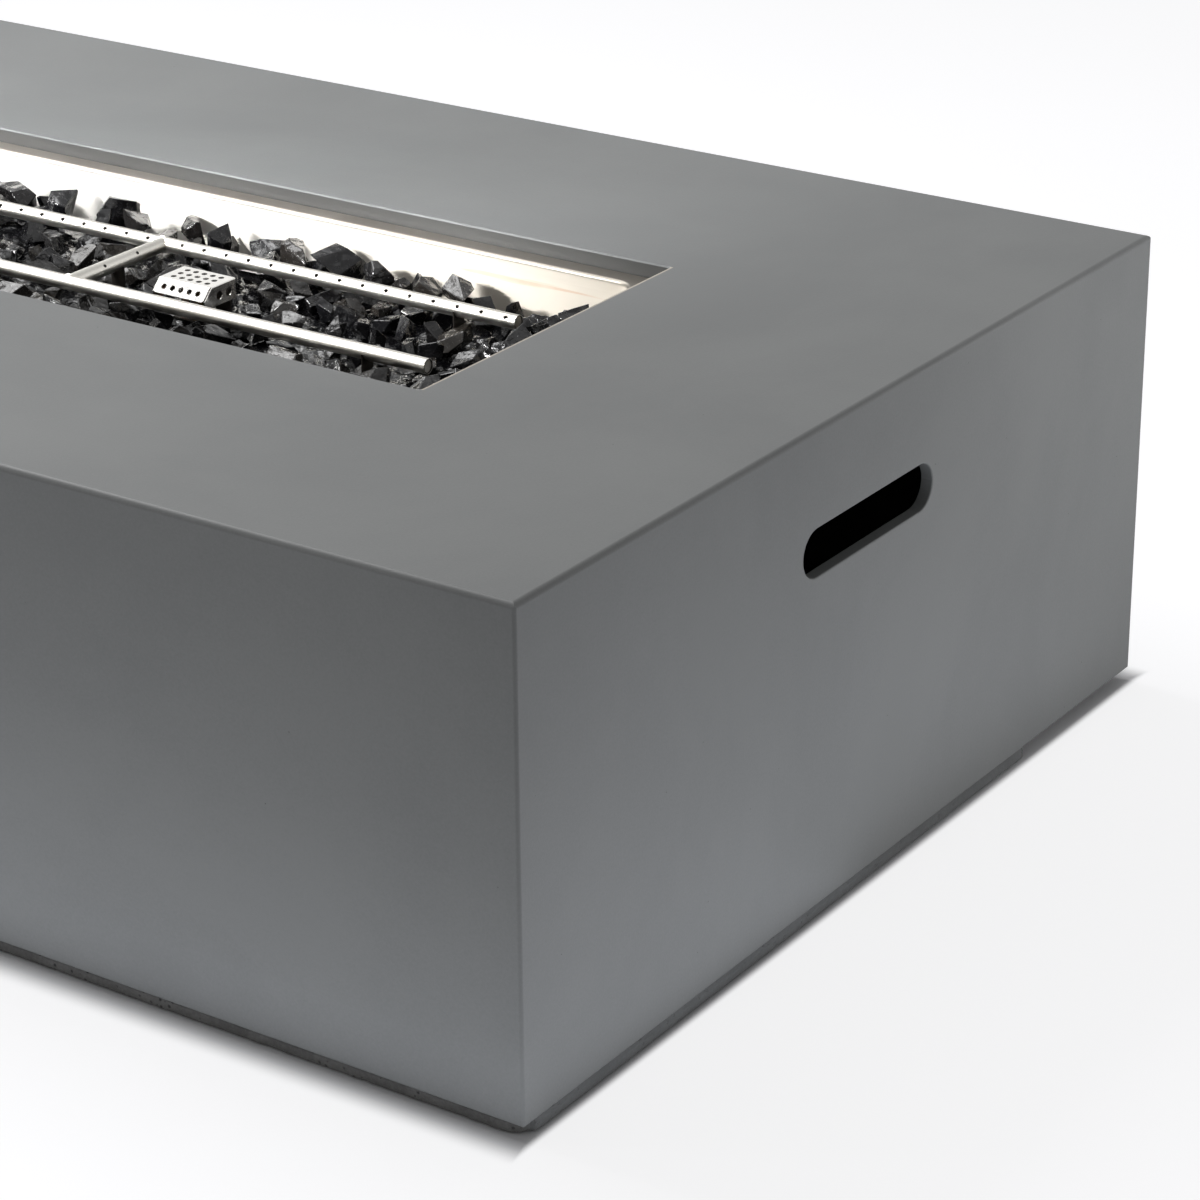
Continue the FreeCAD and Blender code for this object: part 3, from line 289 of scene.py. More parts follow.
def rough_concrete():
    """Matt casting as it left the mould: coarse grain and pits, painted lighter at the right end
    as painted light.
    """
    finish = Finish("rough_concrete", {"IOR": 1.45})
    patches = finish.noise(24.0, 5.0, 0.65)
    grit = finish.noise(420.0, 4.0, 0.7)
    pits = finish.cells(170.0)
    pit = finish.between(pits["Distance"], 0.10, 0.30, 1.0, 0.0) * (patches > 0.52)
    tone = finish.between(0.6 * patches + 0.4 * grit, 0.35, 0.65)
    # Darker tone partly painted shade; the right end painted lighter, near the wall's tone, as
    # painted light
    rough = finish.mix(tone, (0.11, 0.108, 0.105), (0.19, 0.187, 0.182))
    plain = finish.mix(tone, (0.195, 0.200, 0.202), (0.235, 0.240, 0.242))
    end = finish.between(finish.axis("X"), SHELL.x - 8.0 * MM, SHELL.x - 4.0 * MM)
    surface = finish.mix(end, rough, plain)
    finish.feed("Base Color", finish.mix(pit * 0.75 * (1 - end), surface, (0.02, 0.02, 0.02)))
    finish.feed("Roughness", 0.82 + 0.12 * grit)
    finish.bump(0.5 * grit + 0.5 * patches - 0.7 * pit, 1.2 * MM)
    return finish.material


def sheet_steel(name, color, shade, roughness, stretch=ALONG_TUBE):
    """Stainless sheet with a fine rolled grain along one axis and faint wipe marks."""
    finish = Finish(name, {"Metallic": 1.0})
    grain = finish.noise(900.0, 2.0, 0.5, stretch=stretch)
    wipes = finish.noise(11.0, 3.0, 0.5, warp=0.6)
    tone = finish.between(0.5 * wipes + 0.5 * grain, 0.3, 0.7)
    finish.feed("Base Color", finish.mix(tone, shade, color))
    finish.feed("Roughness", roughness - 0.05 + 0.06 * grain + 0.08 * wipes)
    finish.bump(grain, 0.06 * MM)
    return finish.material


def turned_metal(name, color, shade, roughness):
    """Small turned, plated or drawn parts: a tone that varies a little, with handling marks."""
    finish = Finish(name, {"Metallic": 1.0})
    marks = finish.noise(70.0, 4.0, 0.6)
    grain = finish.noise(1500.0, 1.0, 0.5)
    finish.feed("Base Color", finish.mix(finish.between(marks, 0.35, 0.7), shade, color))
    finish.feed("Roughness", roughness + 0.12 * marks)
    finish.bump(0.6 * grain + 0.4 * marks, 0.04 * MM)
    return finish.material


def moulded(name, color, shade, roughness):
    """Moulded plastic, rubber or glaze: an even colour with a fine moulded texture."""
    finish = Finish(name, {"IOR": 1.48})
    grain = finish.noise(1100.0, 2.0, 0.6)
    drift = finish.noise(30.0, 3.0, 0.5)
    finish.feed("Base Color", finish.mix(finish.between(drift, 0.3, 0.7), shade, color))
    finish.feed("Roughness", roughness + 0.1 * drift)
    finish.bump(grain, 0.03 * MM)
    return finish.material


def braided_hose():
    """Woven steel sleeve: two crossed sets of fine strands."""
    finish = Finish("braided_hose", {"Metallic": 1.0})
    strands = []
    for lean in (0.8, -0.8):
        place = finish.node("ShaderNodeMapping", None,
                            {"Vector": finish.place, "Rotation": (lean, lean, lean)})["Vector"]
        wave = finish.node("ShaderNodeTexWave", None, {"Vector": place, "Scale": 260.0})
        strands.append(wave["Fac"])
    weave = strands[0] * strands[1]
    finish.feed("Base Color", finish.mix(weave, (0.30, 0.30, 0.31), (0.66, 0.66, 0.65)))
    finish.feed("Roughness", 0.5 - 0.15 * weave)
    finish.bump(weave, 0.3 * MM)
    return finish.material


def black_glass():
    """Broken glass: black, a little smoky brown in some pieces, with shell-like curved breaks."""
    finish = Finish("black_glass", {"IOR": 1.55})
    swell = finish.noise(70.0, 1.0, 0.4)
    ripples = finish.noise(340.0, 2.0, 0.5, warp=0.8)
    smoke = finish.node("ShaderNodeAttribute", {"attribute_name": "smoke"})["Fac"]
    finish.feed("Base Color", finish.mix(smoke, (0.006, 0.006, 0.007), (0.022, 0.019, 0.016)))
    finish.feed("Roughness", 0.05 + 0.3 * finish.between(ripples, 0.45, 0.75))
    finish.bump(0.9 * swell + 0.1 * ripples, 4.0 * MM)
    return finish.material


def sheet_shaded_right(finish, wipes):
    """The colour of the pan's pale sheet, painted creamier and darker towards the right end as
    painted shade.
    """
    shade_right = finish.between(finish.axis("X") + 0.12 * wipes, -0.10, 0.42)
    return finish.mix(shade_right, PALE_SHEET, CREAM_SHADED_SHEET)


def pan_steel():
    """The tray's sheet: pale and satin, painted creamier to the right as painted shade, with wiped
    patches and thin rust streaks.
    """
    finish = Finish("pan_steel", {"Metallic": 0.2})
    grain = finish.noise(700.0, 2.0, 0.5, stretch=ALONG_SHEET)
    wipes = finish.noise(9.0, 4.0, 0.55, warp=0.6)
    streaks = finish.noise(150.0, 2.0, 0.5, stretch=(0.035, 1.0, 1.0))
    wiped = 0.35 * finish.between(wipes, 0.4, 0.75)
    surface = finish.mix(wiped, sheet_shaded_right(finish, wipes), WIPED_SHEET)
    rust = finish.between(streaks, 0.66, 0.74) * finish.between(wipes, 0.45, 0.6)
    finish.feed("Base Color", finish.mix(0.45 * rust, surface, RUST))
    finish.feed("Roughness", 0.42 + 0.08 * grain + 0.1 * wipes)
    finish.bump(grain, 0.05 * MM)
    return finish.material


def rim_steel():
    """The rim's sheet: a dull flange painted dark as painted shade, darker still to the right, and
    below it the tray's pale wall.
    """
    finish = Finish("rim_steel", {})
    grain = finish.noise(800.0, 2.0, 0.5, stretch=ALONG_SHEET)
    wipes = finish.noise(9.0, 4.0, 0.55, warp=0.6)
    # Painted shade: the flange is painted darker than the wall below it, and darker still to the
    # right
    flange = finish.mix(finish.between(wipes, 0.35, 0.7), FLANGE_SHADE, FLANGE_TONE)
    flange = finish.mix(finish.between(finish.axis("X"), 0.1, 0.4), flange, FLANGE_RIGHT_SHADE)
    roll = finish.between(finish.axis("Z"), RIM_TOP - 5.0 * MM, RIM_TOP - 1.0 * MM)
    finish.feed("Base Color", finish.mix(roll, sheet_shaded_right(finish, wipes), flange))
    finish.feed("Metallic", 0.2 + 0.75 * roll)
    finish.feed("Roughness", 0.30 + 0.1 * grain + 0.1 * wipes)
    finish.bump(grain, 0.04 * MM)
    return finish.material


def tube_steel():
    """Satin tube with a long drawn grain, painted dark inside and round its ports as painted
    shade.
    """
    finish = Finish("tube_steel", {"Metallic": 1.0})
    grain = finish.noise(900.0, 2.0, 0.5, stretch=ALONG_TUBE)
    wipes = finish.noise(14.0, 3.0, 0.5, warp=0.6)
    tone = finish.between(0.5 * wipes + 0.5 * grain, 0.3, 0.7)
    surface = finish.mix(tone, (0.54, 0.52, 0.48), (0.68, 0.66, 0.61))
    low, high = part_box("burner_tube_rear")
    middle = (low + high) / 2
    radius = high.z - middle.z
    along = finish.axis("X")
    across = abs(finish.axis("Y")) - middle.y
    up = finish.axis("Z") - middle.z
    right, left = (finish.math("WRAP", along + shift, PORT_PITCH / 2, -PORT_PITCH / 2)
                   for shift in (0.0, PORT_SHIFT))
    right, left = right * right, left * left
    beside = across + math.cos(PORT_LEAN) * radius
    above = up - math.sin(PORT_LEAN) * radius
    from_port = beside * beside + above * above + left + (right - left) * (along > 0.0)
    # Painted shade: a dark ring round each port, so that the holes read larger and darker
    ring = finish.between(from_port, PORT_RADIUS ** 2, PORT_SHADE_RADIUS ** 2, 0.9, 0.0)
    surface = finish.mix(ring, surface, PORT_RING_SHADE)
    # Painted shade: the tube's inside is painted near black and dull
    inside = (across * across + up * up) < (radius - 0.45 * MM) ** 2
    finish.feed("Base Color", finish.mix(inside, surface, INNER_SHADE))
    finish.feed("Metallic", 1.0 - 0.9 * inside)
    finish.feed("Roughness", 0.27 + 0.06 * grain + 0.08 * wipes + 0.4 * inside)
    finish.bump(grain, 0.06 * MM)
    return finish.material


# The finish of each material slot: its maker, then its colour, shade and roughness
SLOT_FINISHES = {
    "bright_steel": (sheet_steel, (0.86, 0.83, 0.77), (0.78, 0.75, 0.69), 0.42),
    "burner_steel": (sheet_steel, (0.78, 0.76, 0.71), (0.66, 0.64, 0.59), 0.30),
    "plated_steel": (turned_metal, (0.66, 0.66, 0.67), (0.52, 0.52, 0.54), 0.28),
    "brass": (turned_metal, (0.74, 0.55, 0.26), (0.60, 0.42, 0.19), 0.26),
    "copper": (turned_metal, (0.76, 0.42, 0.28), (0.58, 0.29, 0.19), 0.30),
    "aluminium_line": (turned_metal, (0.78, 0.79, 0.80), (0.64, 0.65, 0.67), 0.34),
    "silicone_wire": (moulded, (0.36, 0.06, 0.045), (0.28, 0.045, 0.035), 0.5),
    "white_ceramic": (moulded, (0.82, 0.80, 0.75), (0.74, 0.72, 0.67), 0.14),
    "black_knob": (moulded, (0.022, 0.022, 0.023), (0.015, 0.015, 0.016), 0.34),
    "white_mark": (moulded, (0.80, 0.80, 0.78), (0.72, 0.72, 0.70), 0.4),
    "black_plastic": (moulded, (0.028, 0.028, 0.030), (0.020, 0.020, 0.021), 0.46),
    "battery_jacket": (moulded, (0.10, 0.11, 0.12), (0.08, 0.09, 0.10), 0.3),
}
finishes = {slot: maker(slot, *values) for slot, (maker, *values) in SLOT_FINISHES.items()}
finishes["cast_concrete"] = cast_concrete()
finishes["rough_concrete"] = rough_concrete()
finishes["braided_hose"] = braided_hose()
finishes["black_glass"] = black_glass()

# Nodes that look unlike the rest of their slot
tubes = tube_steel()
sooted = turned_metal("sooted_steel", (0.05, 0.045, 0.04), (0.03, 0.027, 0.024), 0.5)
own_finishes = {
    "burner_pan": pan_steel(),
    "pan_rim": rim_steel(),
    "burner_tube_front": tubes,
    "burner_tube_rear": tubes,
    "burner_feet": sooted,
    "burner_stub": sooted,
    "pilot_bracket": turned_metal("sooted_bracket", (0.06, 0.055, 0.05), (0.04, 0.036, 0.032),
                                  0.5),
    "pilot_burner": turned_metal("sooted_brass", (0.16, 0.11, 0.055), (0.08, 0.06, 0.035), 0.45),
    "pilot_shield": sheet_steel("shield_steel", (0.94, 0.92, 0.88), (0.86, 0.84, 0.80), 0.20,
                                ACROSS_SHEET),
}
for part in frame["record"]["subparts"]:
    for holder in frame["nodes"][part["node"]].material_slots:
        holder.material = own_finishes.get(part["node"], finishes[part["material_slot"]])


def add_piece(name, bm, slot, smooth=False):
    """Makes an object of a finished bmesh, in its finish, that stands with the table."""
    mesh = bpy.data.meshes.new(name)
    bm.to_mesh(mesh)
    bm.free()
    if smooth:
        mesh.shade_smooth()
    else:
        mesh.shade_flat()
    mesh.materials.append(finishes[slot])
    piece = bpy.data.objects.new(name, mesh)
    bpy.context.scene.collection.objects.link(piece)
    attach(piece, TABLE)
    return piece


# Fire glass. Heights and bands are over the stones' level, which lies below the table's top.
STONE_SEED = 31
LEVEL_DROP = 49.0 * MM
CELL = 2.5 * MM
GLASS_CORNER = 18.0 * MM
TUBE_GAP = 0.8 * MM
FAR_OFF = 1.0      # a height above everything, and its negative below everything

# One kind of stone, about a unit sphere: a block cut by planes, each a golden angle on from the
# last, with the ranges of chance in its lengths and in its planes
STONE_KINDS = 18
BLOCK_SIZE = 2.4
STONE_LENGTHS = ((1.0, 1.35), (0.75, 1.05), (0.55, 0.85))
STONE_CUTS = 8
CUT_TURN = 2.4
CUT_TURN_CHANCE = 0.5
CUT_LEAN_CHANCE = 0.35
CUT_REACH = (0.5, 0.9)
STONE_WELD = 0.03
STONE_EDGE = 0.035

# The general fill: the stones' sizes, the seats that each may take, and how many stones find no
# seat before the sizes get smaller and before the fill is full
STONE_SIZE = 19.0 * MM
STONE_REACH = 1.8      # a stone's greatest radius, in stone sizes
STONE_SIZES = (0.75, 0.85, 0.95, 1.0, 1.1, 1.25)
STONE_SEATS = 30
SMALLER = 0.72
MISSES_BEFORE_SMALLER = 120
MISSES_BEFORE_FULL = 260
FILL_MEAN = 11.0 * MM
FILL_WAVE = 6.0 * MM

# The crumbs between the stones
CRUMB = 6.0 * MM
CRUMB_CORNER = 20.0 * MM
CRUMB_MEAN = -15.0 * MM
CRUMB_LONG_WAVE = 3.0 * MM
CRUMB_SHORT_WAVE = 2.5 * MM

# Stones that hide the burner's feet: their size, their top height, and where they lie, in
# millimetres to the right of a foot and behind it
FEET_STONE = 17.0 * MM
FEET_COVER = 30.0 * MM
FEET_INSET = 8.0 * MM
FEET_PLACES = ((3.0, -17.0), (15.0, -15.0), (14.0, 3.0))
FEET_SEATS_RIGHT = (-5, 0, 5)
FEET_SEATS_BEHIND = (-4, 0, 3)

# Stones that stand up from the fill, each row with the band that its crests lie in: at the
# tubes' right ends, along the back wall, down the right end, inside that, and along the front
STAND_TRIES = 24
STAND_SIZES = (0.85, 0.95, 1.05)
STAND_CHANCE = 0.22
STAND_SEATS_RIGHT = range(-9, 10, 3)
STAND_SEATS_BEHIND = range(-9, 13, 3)
ROW_LEFT_INSET = 34.0 * MM
ROW_RIGHT_INSET = 24.0 * MM
TUBE_END_GAP = 15.0 * MM
TUBE_END_START = -6.0 * MM
TUBE_END_STEP = 14.0 * MM
TUBE_END_COUNT = 2
TUBE_END_SIZES = (0.7, 0.8, 0.9)
TUBE_END_BAND = (15.0 * MM, 29.0 * MM)
WALL_ROW = 126.0 * MM
WALL_STEP = 44.0 * MM
WALL_BAND = (13.0 * MM, 23.0 * MM)
END_START = 128.0 * MM
END_STEP = -27.0 * MM
END_COUNT = 9
END_BAND = (11.0 * MM, 24.0 * MM)
INNER_INSET = 30.0 * MM
INNER_START = 118.0 * MM
INNER_STEP = -30.0 * MM
INNER_COUNT = 3
INNER_BAND = (9.0 * MM, 20.0 * MM)
FRONT_ROW = -90.0 * MM
FRONT_STEP = 46.0 * MM
FRONT_BAND = (9.0 * MM, 22.0 * MM)


def broken_stone(spread):
    """One broken piece of glass about a unit sphere: a block cut by planes on all sides."""
    bm = bmesh.new()
    bmesh.ops.create_cube(bm, size=BLOCK_SIZE)
    lengths = Vector([spread.uniform(*ends) for ends in STONE_LENGTHS])
    for i in range(STONE_CUTS):
        height = 1 - 2 * (i + 0.5) / STONE_CUTS
        turn = CUT_TURN * i + spread.uniform(-CUT_TURN_CHANCE, CUT_TURN_CHANCE)
        ring = math.sqrt(1 - height * height)
        normal = Vector((ring * math.cos(turn), ring * math.sin(turn), height))
        normal += Vector([spread.uniform(-CUT_LEAN_CHANCE, CUT_LEAN_CHANCE) for _ in range(3)])
        normal.normalize()
        reach = spread.uniform(*CUT_REACH)
        cut = bmesh.ops.bisect_plane(bm, geom=bm.verts[:] + bm.edges[:] + bm.faces[:],
                                     plane_co=normal * reach, plane_no=normal, clear_outer=True)
        rim = [part for part in cut["geom_cut"] if isinstance(part, bmesh.types.BMEdge)]
        if rim:
            bmesh.ops.contextual_create(bm, geom=rim)
    bmesh.ops.scale(bm, vec=lengths, verts=bm.verts)
    bmesh.ops.remove_doubles(bm, verts=bm.verts, dist=STONE_WELD)
    bmesh.ops.dissolve_degenerate(bm, edges=bm.edges, dist=0.01)
    bmesh.ops.recalc_face_normals(bm, faces=bm.faces)
    planes = [(face.normal.copy(), face.normal.dot(face.calc_center_median()))
              for face in bm.faces]
    bmesh.ops.bevel(bm, geom=bm.edges[:], offset=STONE_EDGE, segments=1, profile=0.5,
                    affect="EDGES", material=-1, clamp_overlap=True)
    mesh = bpy.data.meshes.new("stone_kind")
    bm.to_mesh(mesh)
    bm.free()
    return mesh, np.array([n for n, _ in planes]), np.array([d for _, d in planes])


def span_of(normals, reaches, x, y):
    """The lowest and highest Z of a convex stone over each point; low is above high beside it."""
    low = np.full(x.shape, -FAR_OFF)
    high = np.full(x.shape, FAR_OFF)
    for normal, reach in zip(normals, reaches):
        rest = reach - normal[0] * x - normal[1] * y
        if normal[2] > 1e-3:
            high = np.minimum(high, rest / normal[2])
        elif normal[2] < -1e-3:
            low = np.maximum(low, rest / normal[2])
        else:
            low = np.where(rest < 0, 2 * FAR_OFF, low)
    return low, high


def crumb_height(x, y):
    """The height of the glass crumbs between the stones."""
    place = Vector((x, y, 0))
    return (CRUMB_MEAN + CRUMB_LONG_WAVE * noise.noise(place * 45.0)
            + CRUMB_SHORT_WAVE * noise.noise(place * 160.0))


def fill_height(x, y):
    """The height that the general fill may reach: a gentle wave."""
    return FILL_MEAN + FILL_WAVE * noise.noise(Vector((x * 14.0, y * 14.0, 3.7)))


class StonePile:
    """The glass in the pan as a grid of heights, what is over it, and the stones laid so far."""

    def __init__(self, low, high, level):
        self.spread = random.Random(STONE_SEED)
        self.kinds = [broken_stone(self.spread) for _ in range(STONE_KINDS)]
        self.low = low
        self.level = level
        self.columns = int((high.x - low.x) / CELL)
        self.rows = int((high.y - low.y) / CELL)
        self.xs = low.x + (np.arange(self.columns) + 0.5) * CELL
        self.ys = low.y + (np.arange(self.rows) + 0.5) * CELL
        self.x, self.y = np.meshgrid(self.xs, self.ys, indexing="ij")
        self.heap = np.array([[level + crumb_height(x, y) for y in self.ys] for x in self.xs])
        self.ceiling = np.full(self.x.shape, FAR_OFF)
        for node in ("burner_tube_front", "burner_tube_rear", "burner_cross_tube", "pilot_shield"):
            self.ceiling[self.over(node)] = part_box(node)[0].z - TUBE_GAP
        for node in ("pilot_bracket", "pilot_burner", "thermocouple", "spark_ceramic"):
            self.ceiling[self.over(node)] = 0.0
        dx = np.maximum(np.abs(self.x) - (high.x - GLASS_CORNER), 0)
        dy = np.maximum(np.abs(self.y) - (high.y - GLASS_CORNER), 0)
        self.ceiling[dx * dx + dy * dy > GLASS_CORNER * GLASS_CORNER] = 0.0
        self.half = int(STONE_REACH * STONE_SIZE / CELL) + 1
        steps = np.arange(-self.half, self.half + 1) * CELL
        self.beside, self.behind = np.meshgrid(steps, steps, indexing="ij")
        self.placed = []

    def over(self, node):
        """The cells that a node covers, with a gap round it."""
        lower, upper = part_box(node)
        return ((self.x > lower.x - TUBE_GAP) & (self.x < upper.x + TUBE_GAP)
                & (self.y > lower.y - TUBE_GAP) & (self.y < upper.y + TUBE_GAP))

    def any_turn(self):
        return Euler([self.spread.uniform(0, math.tau) for _ in range(3)]).to_matrix()

    def seats_round(self, x, y, to_right, to_back):
        """The cells at some distances, in millimetres, to the right of a point and behind it."""
        return [(int((x + a * MM - self.low.x) / CELL), int((y + b * MM - self.low.y) / CELL))
                for a in to_right for b in to_back]

    def lay(self, size, turn, seats, most, least=-FAR_OFF):
        """Puts one stone on the lowest of the seats where it fits under what is over it.

        Its crest is then no higher than most, a function of the place, and no lower than least.
        Says if there was such a seat.
        """
        kind = self.spread.randrange(STONE_KINDS)
        _, normals, reaches = self.kinds[kind]
        turned = normals @ np.array(turn).T
        low, high = span_of(turned, reaches * size, self.beside, self.behind)
        body = low < high
        best = None
        for i, j in seats:
            i0, j0 = i - self.half, j - self.half
            a0, b0 = max(-i0, 0), max(-j0, 0)
            a1 = min(self.columns - i0, 2 * self.half + 1)
            b1 = min(self.rows - j0, 2 * self.half + 1)
            inside = body[a0:a1, b0:b1]
            if inside.sum() < body.sum():
                continue
            region = (slice(i0 + a0, i0 + a1), slice(j0 + b0, j0 + b1))
            rise = np.max(np.where(inside, self.heap[region] - low[a0:a1, b0:b1], -FAR_OFF))
            crest = rise + high[a0:a1, b0:b1]
            if np.any(inside & (crest > self.ceiling[region])):
                continue
            peak = np.max(np.where(inside, crest, -FAR_OFF))
            if peak > self.level + most(self.xs[i], self.ys[j]) or peak < self.level + least:
                continue
            if best is None or rise + 0.5 * peak < best[0]:
                best = (rise + 0.5 * peak, i, j, rise, region, inside, crest)
        if best is None:
            return False
        _, i, j, rise, region, inside, crest = best
        heap = self.heap[region]
        self.heap[region] = np.where(inside, np.maximum(heap, crest), heap)
        self.placed.append((kind, size, turn, Vector((self.xs[i], self.ys[j], rise))))
        return True

    def hide_feet(self):
        """Lays stones against the burner's feet."""
        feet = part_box("burner_feet")
        for x in (feet[0].x + FEET_INSET, 0.0, feet[1].x - FEET_INSET):
            for y in (-TUBE_SIDE, TUBE_SIDE) if x else (0.0,):
                for right, behind in FEET_PLACES:
                    turn = self.any_turn()
                    seats = self.seats_round(x, y, [right + a for a in FEET_SEATS_RIGHT],
                                             [behind + b for b in FEET_SEATS_BEHIND])
                    self.lay(FEET_STONE, turn, seats, lambda *place: FEET_COVER)

    def fill(self):
        """Lays stones anywhere until the fill is full, and smaller ones once few still fit."""
        misses = 0
        while misses < MISSES_BEFORE_FULL:
            largest = 1.0 if misses < MISSES_BEFORE_SMALLER else SMALLER
            size = STONE_SIZE * largest * self.spread.choice(STONE_SIZES)
            turn = self.any_turn()
            seats = [(self.spread.randrange(self.columns), self.spread.randrange(self.rows))
                     for _ in range(STONE_SEATS)]
            if not self.lay(size, turn, seats, fill_height):
                misses += 1

    def stand(self, start, step, count, band, sizes=STAND_SIZES):
        """A loose row of stones on the fill, each with its crest in a band of heights."""
        for number in range(count):
            along = number + self.spread.uniform(-STAND_CHANCE, STAND_CHANCE)
            x, y = start[0] + step[0] * along, start[1] + step[1] * along
            seats = self.seats_round(x, y, STAND_SEATS_RIGHT, STAND_SEATS_BEHIND)
            for _ in range(STAND_TRIES):
                turn = self.any_turn()
                size = STONE_SIZE * self.spread.choice(sizes)
                if self.lay(size, turn, seats, lambda *place: band[1], band[0]):
                    break

    def add_half(self, name, share):
        """Makes one piece of every second stone."""
        bm = bmesh.new()
        smoke = bm.faces.layers.float.new("smoke")
        for kind, size, turn, seat in self.placed[share::2]:
            start, first = len(bm.verts), len(bm.faces)
            bm.from_mesh(self.kinds[kind][0])
            bm.verts.ensure_lookup_table()
            bm.faces.ensure_lookup_table()
            place = Matrix.Translation(seat) @ turn.to_4x4() @ Matrix.Scale(size, 4)
            bmesh.ops.transform(bm, matrix=place, verts=bm.verts[start:])
            shade = self.spread.random() ** 3
            for face in bm.faces[first:]:
                face[smoke] = shade
        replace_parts(add_piece(name, bm, "black_glass"), "fire_glass")


def glass_crumbs(low, high, level):
    """The bed of small broken glass that the stones lie in, down to the pan's floor."""
    bm = bmesh.new()
    bmesh.ops.create_cube(bm, size=1.0)
    bmesh.ops.scale(bm, verts=bm.verts, vec=high - low)
    bmesh.ops.translate(bm, verts=bm.verts, vec=(low + high) / 2)
    uprights = [edge for edge in bm.edges
                if abs(edge.verts[0].co.z - edge.verts[1].co.z) > 1.0 * MM]
    bmesh.ops.bevel(bm, geom=uprights, offset=CRUMB_CORNER, segments=4, profile=0.5,
                    affect="EDGES", material=-1)
    for axis, start, end in ((0, low.x, high.x), (1, low.y, high.y)):
        steps = int((end - start) / CRUMB)
        normal = Vector((1.0, 0.0, 0.0) if axis == 0 else (0.0, 1.0, 0.0))
        for step in range(1, steps):
            bmesh.ops.bisect_plane(bm, geom=bm.verts[:] + bm.edges[:] + bm.faces[:],
                                   plane_co=normal * (start + (end - start) * step / steps),
                                   plane_no=normal)
    for vert in bm.verts:
        if vert.co.z > high.z - 0.1 * MM:
            vert.co.z = level + crumb_height(vert.co.x, vert.co.y)
    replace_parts(add_piece("glass_crumbs", bm, "black_glass"), "fire_glass")


def fire_glass():
    """Fills the pan with broken glass, stone on stone, round the burner and the pilot group."""
    low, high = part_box("fire_glass")
    level = SHELL.z - LEVEL_DROP
    pile = StonePile(low, high, level)
    pile.hide_feet()
    pile.fill()

    first = low.x + ROW_LEFT_INSET
    last = high.x - ROW_RIGHT_INSET
    tube_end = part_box("burner_tube_rear")[1].x + TUBE_END_GAP
    for y in (-TUBE_SIDE, TUBE_SIDE):
        pile.stand((tube_end, y + TUBE_END_START), (0.0, TUBE_END_STEP), TUBE_END_COUNT,
                   TUBE_END_BAND, TUBE_END_SIZES)
    pile.stand((first, WALL_ROW), (WALL_STEP, 0.0), int((last - first) / WALL_STEP), WALL_BAND)
    pile.stand((last, END_START), (0.0, END_STEP), END_COUNT, END_BAND)
    pile.stand((last - INNER_INSET, INNER_START), (0.0, INNER_STEP), INNER_COUNT, INNER_BAND)
    pile.stand((first, FRONT_ROW), (FRONT_STEP, 0.0), int((last - first) / FRONT_STEP),
               FRONT_BAND)

    pile.add_half("fire_glass_a", 0)
    pile.add_half("fire_glass_b", 1)
    inset = Vector((1.0, 1.0, 0.0)) * MM
    glass_crumbs(low + inset, high - inset, level)


fire_glass()


# Foot strip
STRIP_VOXEL = 2.5 * MM
STRIP_EDGE = 12.0 * MM     # how deep its outer part is that moves
STRIP_ROUGH = 0.4 * MM
STRIP_TOP = 2.5 * MM       # a band below the wall that keeps its height

# Wear of the lower edge: everywhere, more from a point short of the right end leftwards, more
# in a long wave, and in chips
WORN_PART = 0.6            # of the strip's height
WORN = 0.2 * MM
WORN_LEFT = 1.4 * MM
WORN_LEFT_FROM = 0.1
WORN_LEFT_RUN = 0.5
WORN_WAVE = 2.0 * MM
WORN_WAVE_FROM = 0.15
WORN_CHIPS = 1.8 * MM
WORN_CHIPS_FROM = 0.1

# The front's face goes back a little. The right end's goes out, its top up, and its far part back.
FRONT_BACK = 0.4 * MM
FRONT_ROUGH = 0.5 * MM
END_OUT = 2.9 * MM
END_ROUGH = 0.25 * MM
END_UP = 1.2 * MM
END_TOP = 3.0 * MM
END_CUT = 13.0 * MM
END_CUT_FROM = 0.265
END_CUT_RUN = 0.01


def voxels_of(node):
    """A bmesh of a node's mesh, rebuilt in small even faces."""
    bm = bmesh.new()
    bm.from_mesh(frame["nodes"][node].data)
    bmesh.ops.remove_doubles(bm, verts=bm.verts, dist=0.01 * MM)
    blank = bpy.data.meshes.new("strip_blank")
    bm.to_mesh(blank)
    bm.free()
    holder = bpy.data.objects.new("strip_blank", blank)
    bpy.context.scene.collection.objects.link(holder)
    remesh = holder.modifiers.new("voxels", "REMESH")
    remesh.mode = "VOXEL"
    remesh.voxel_size = STRIP_VOXEL
    shaped = holder.evaluated_get(bpy.context.evaluated_depsgraph_get())
    bm = bmesh.new()
    bm.from_mesh(shaped.to_mesh())
    shaped.to_mesh_clear()
    bpy.data.objects.remove(holder)
    return bm


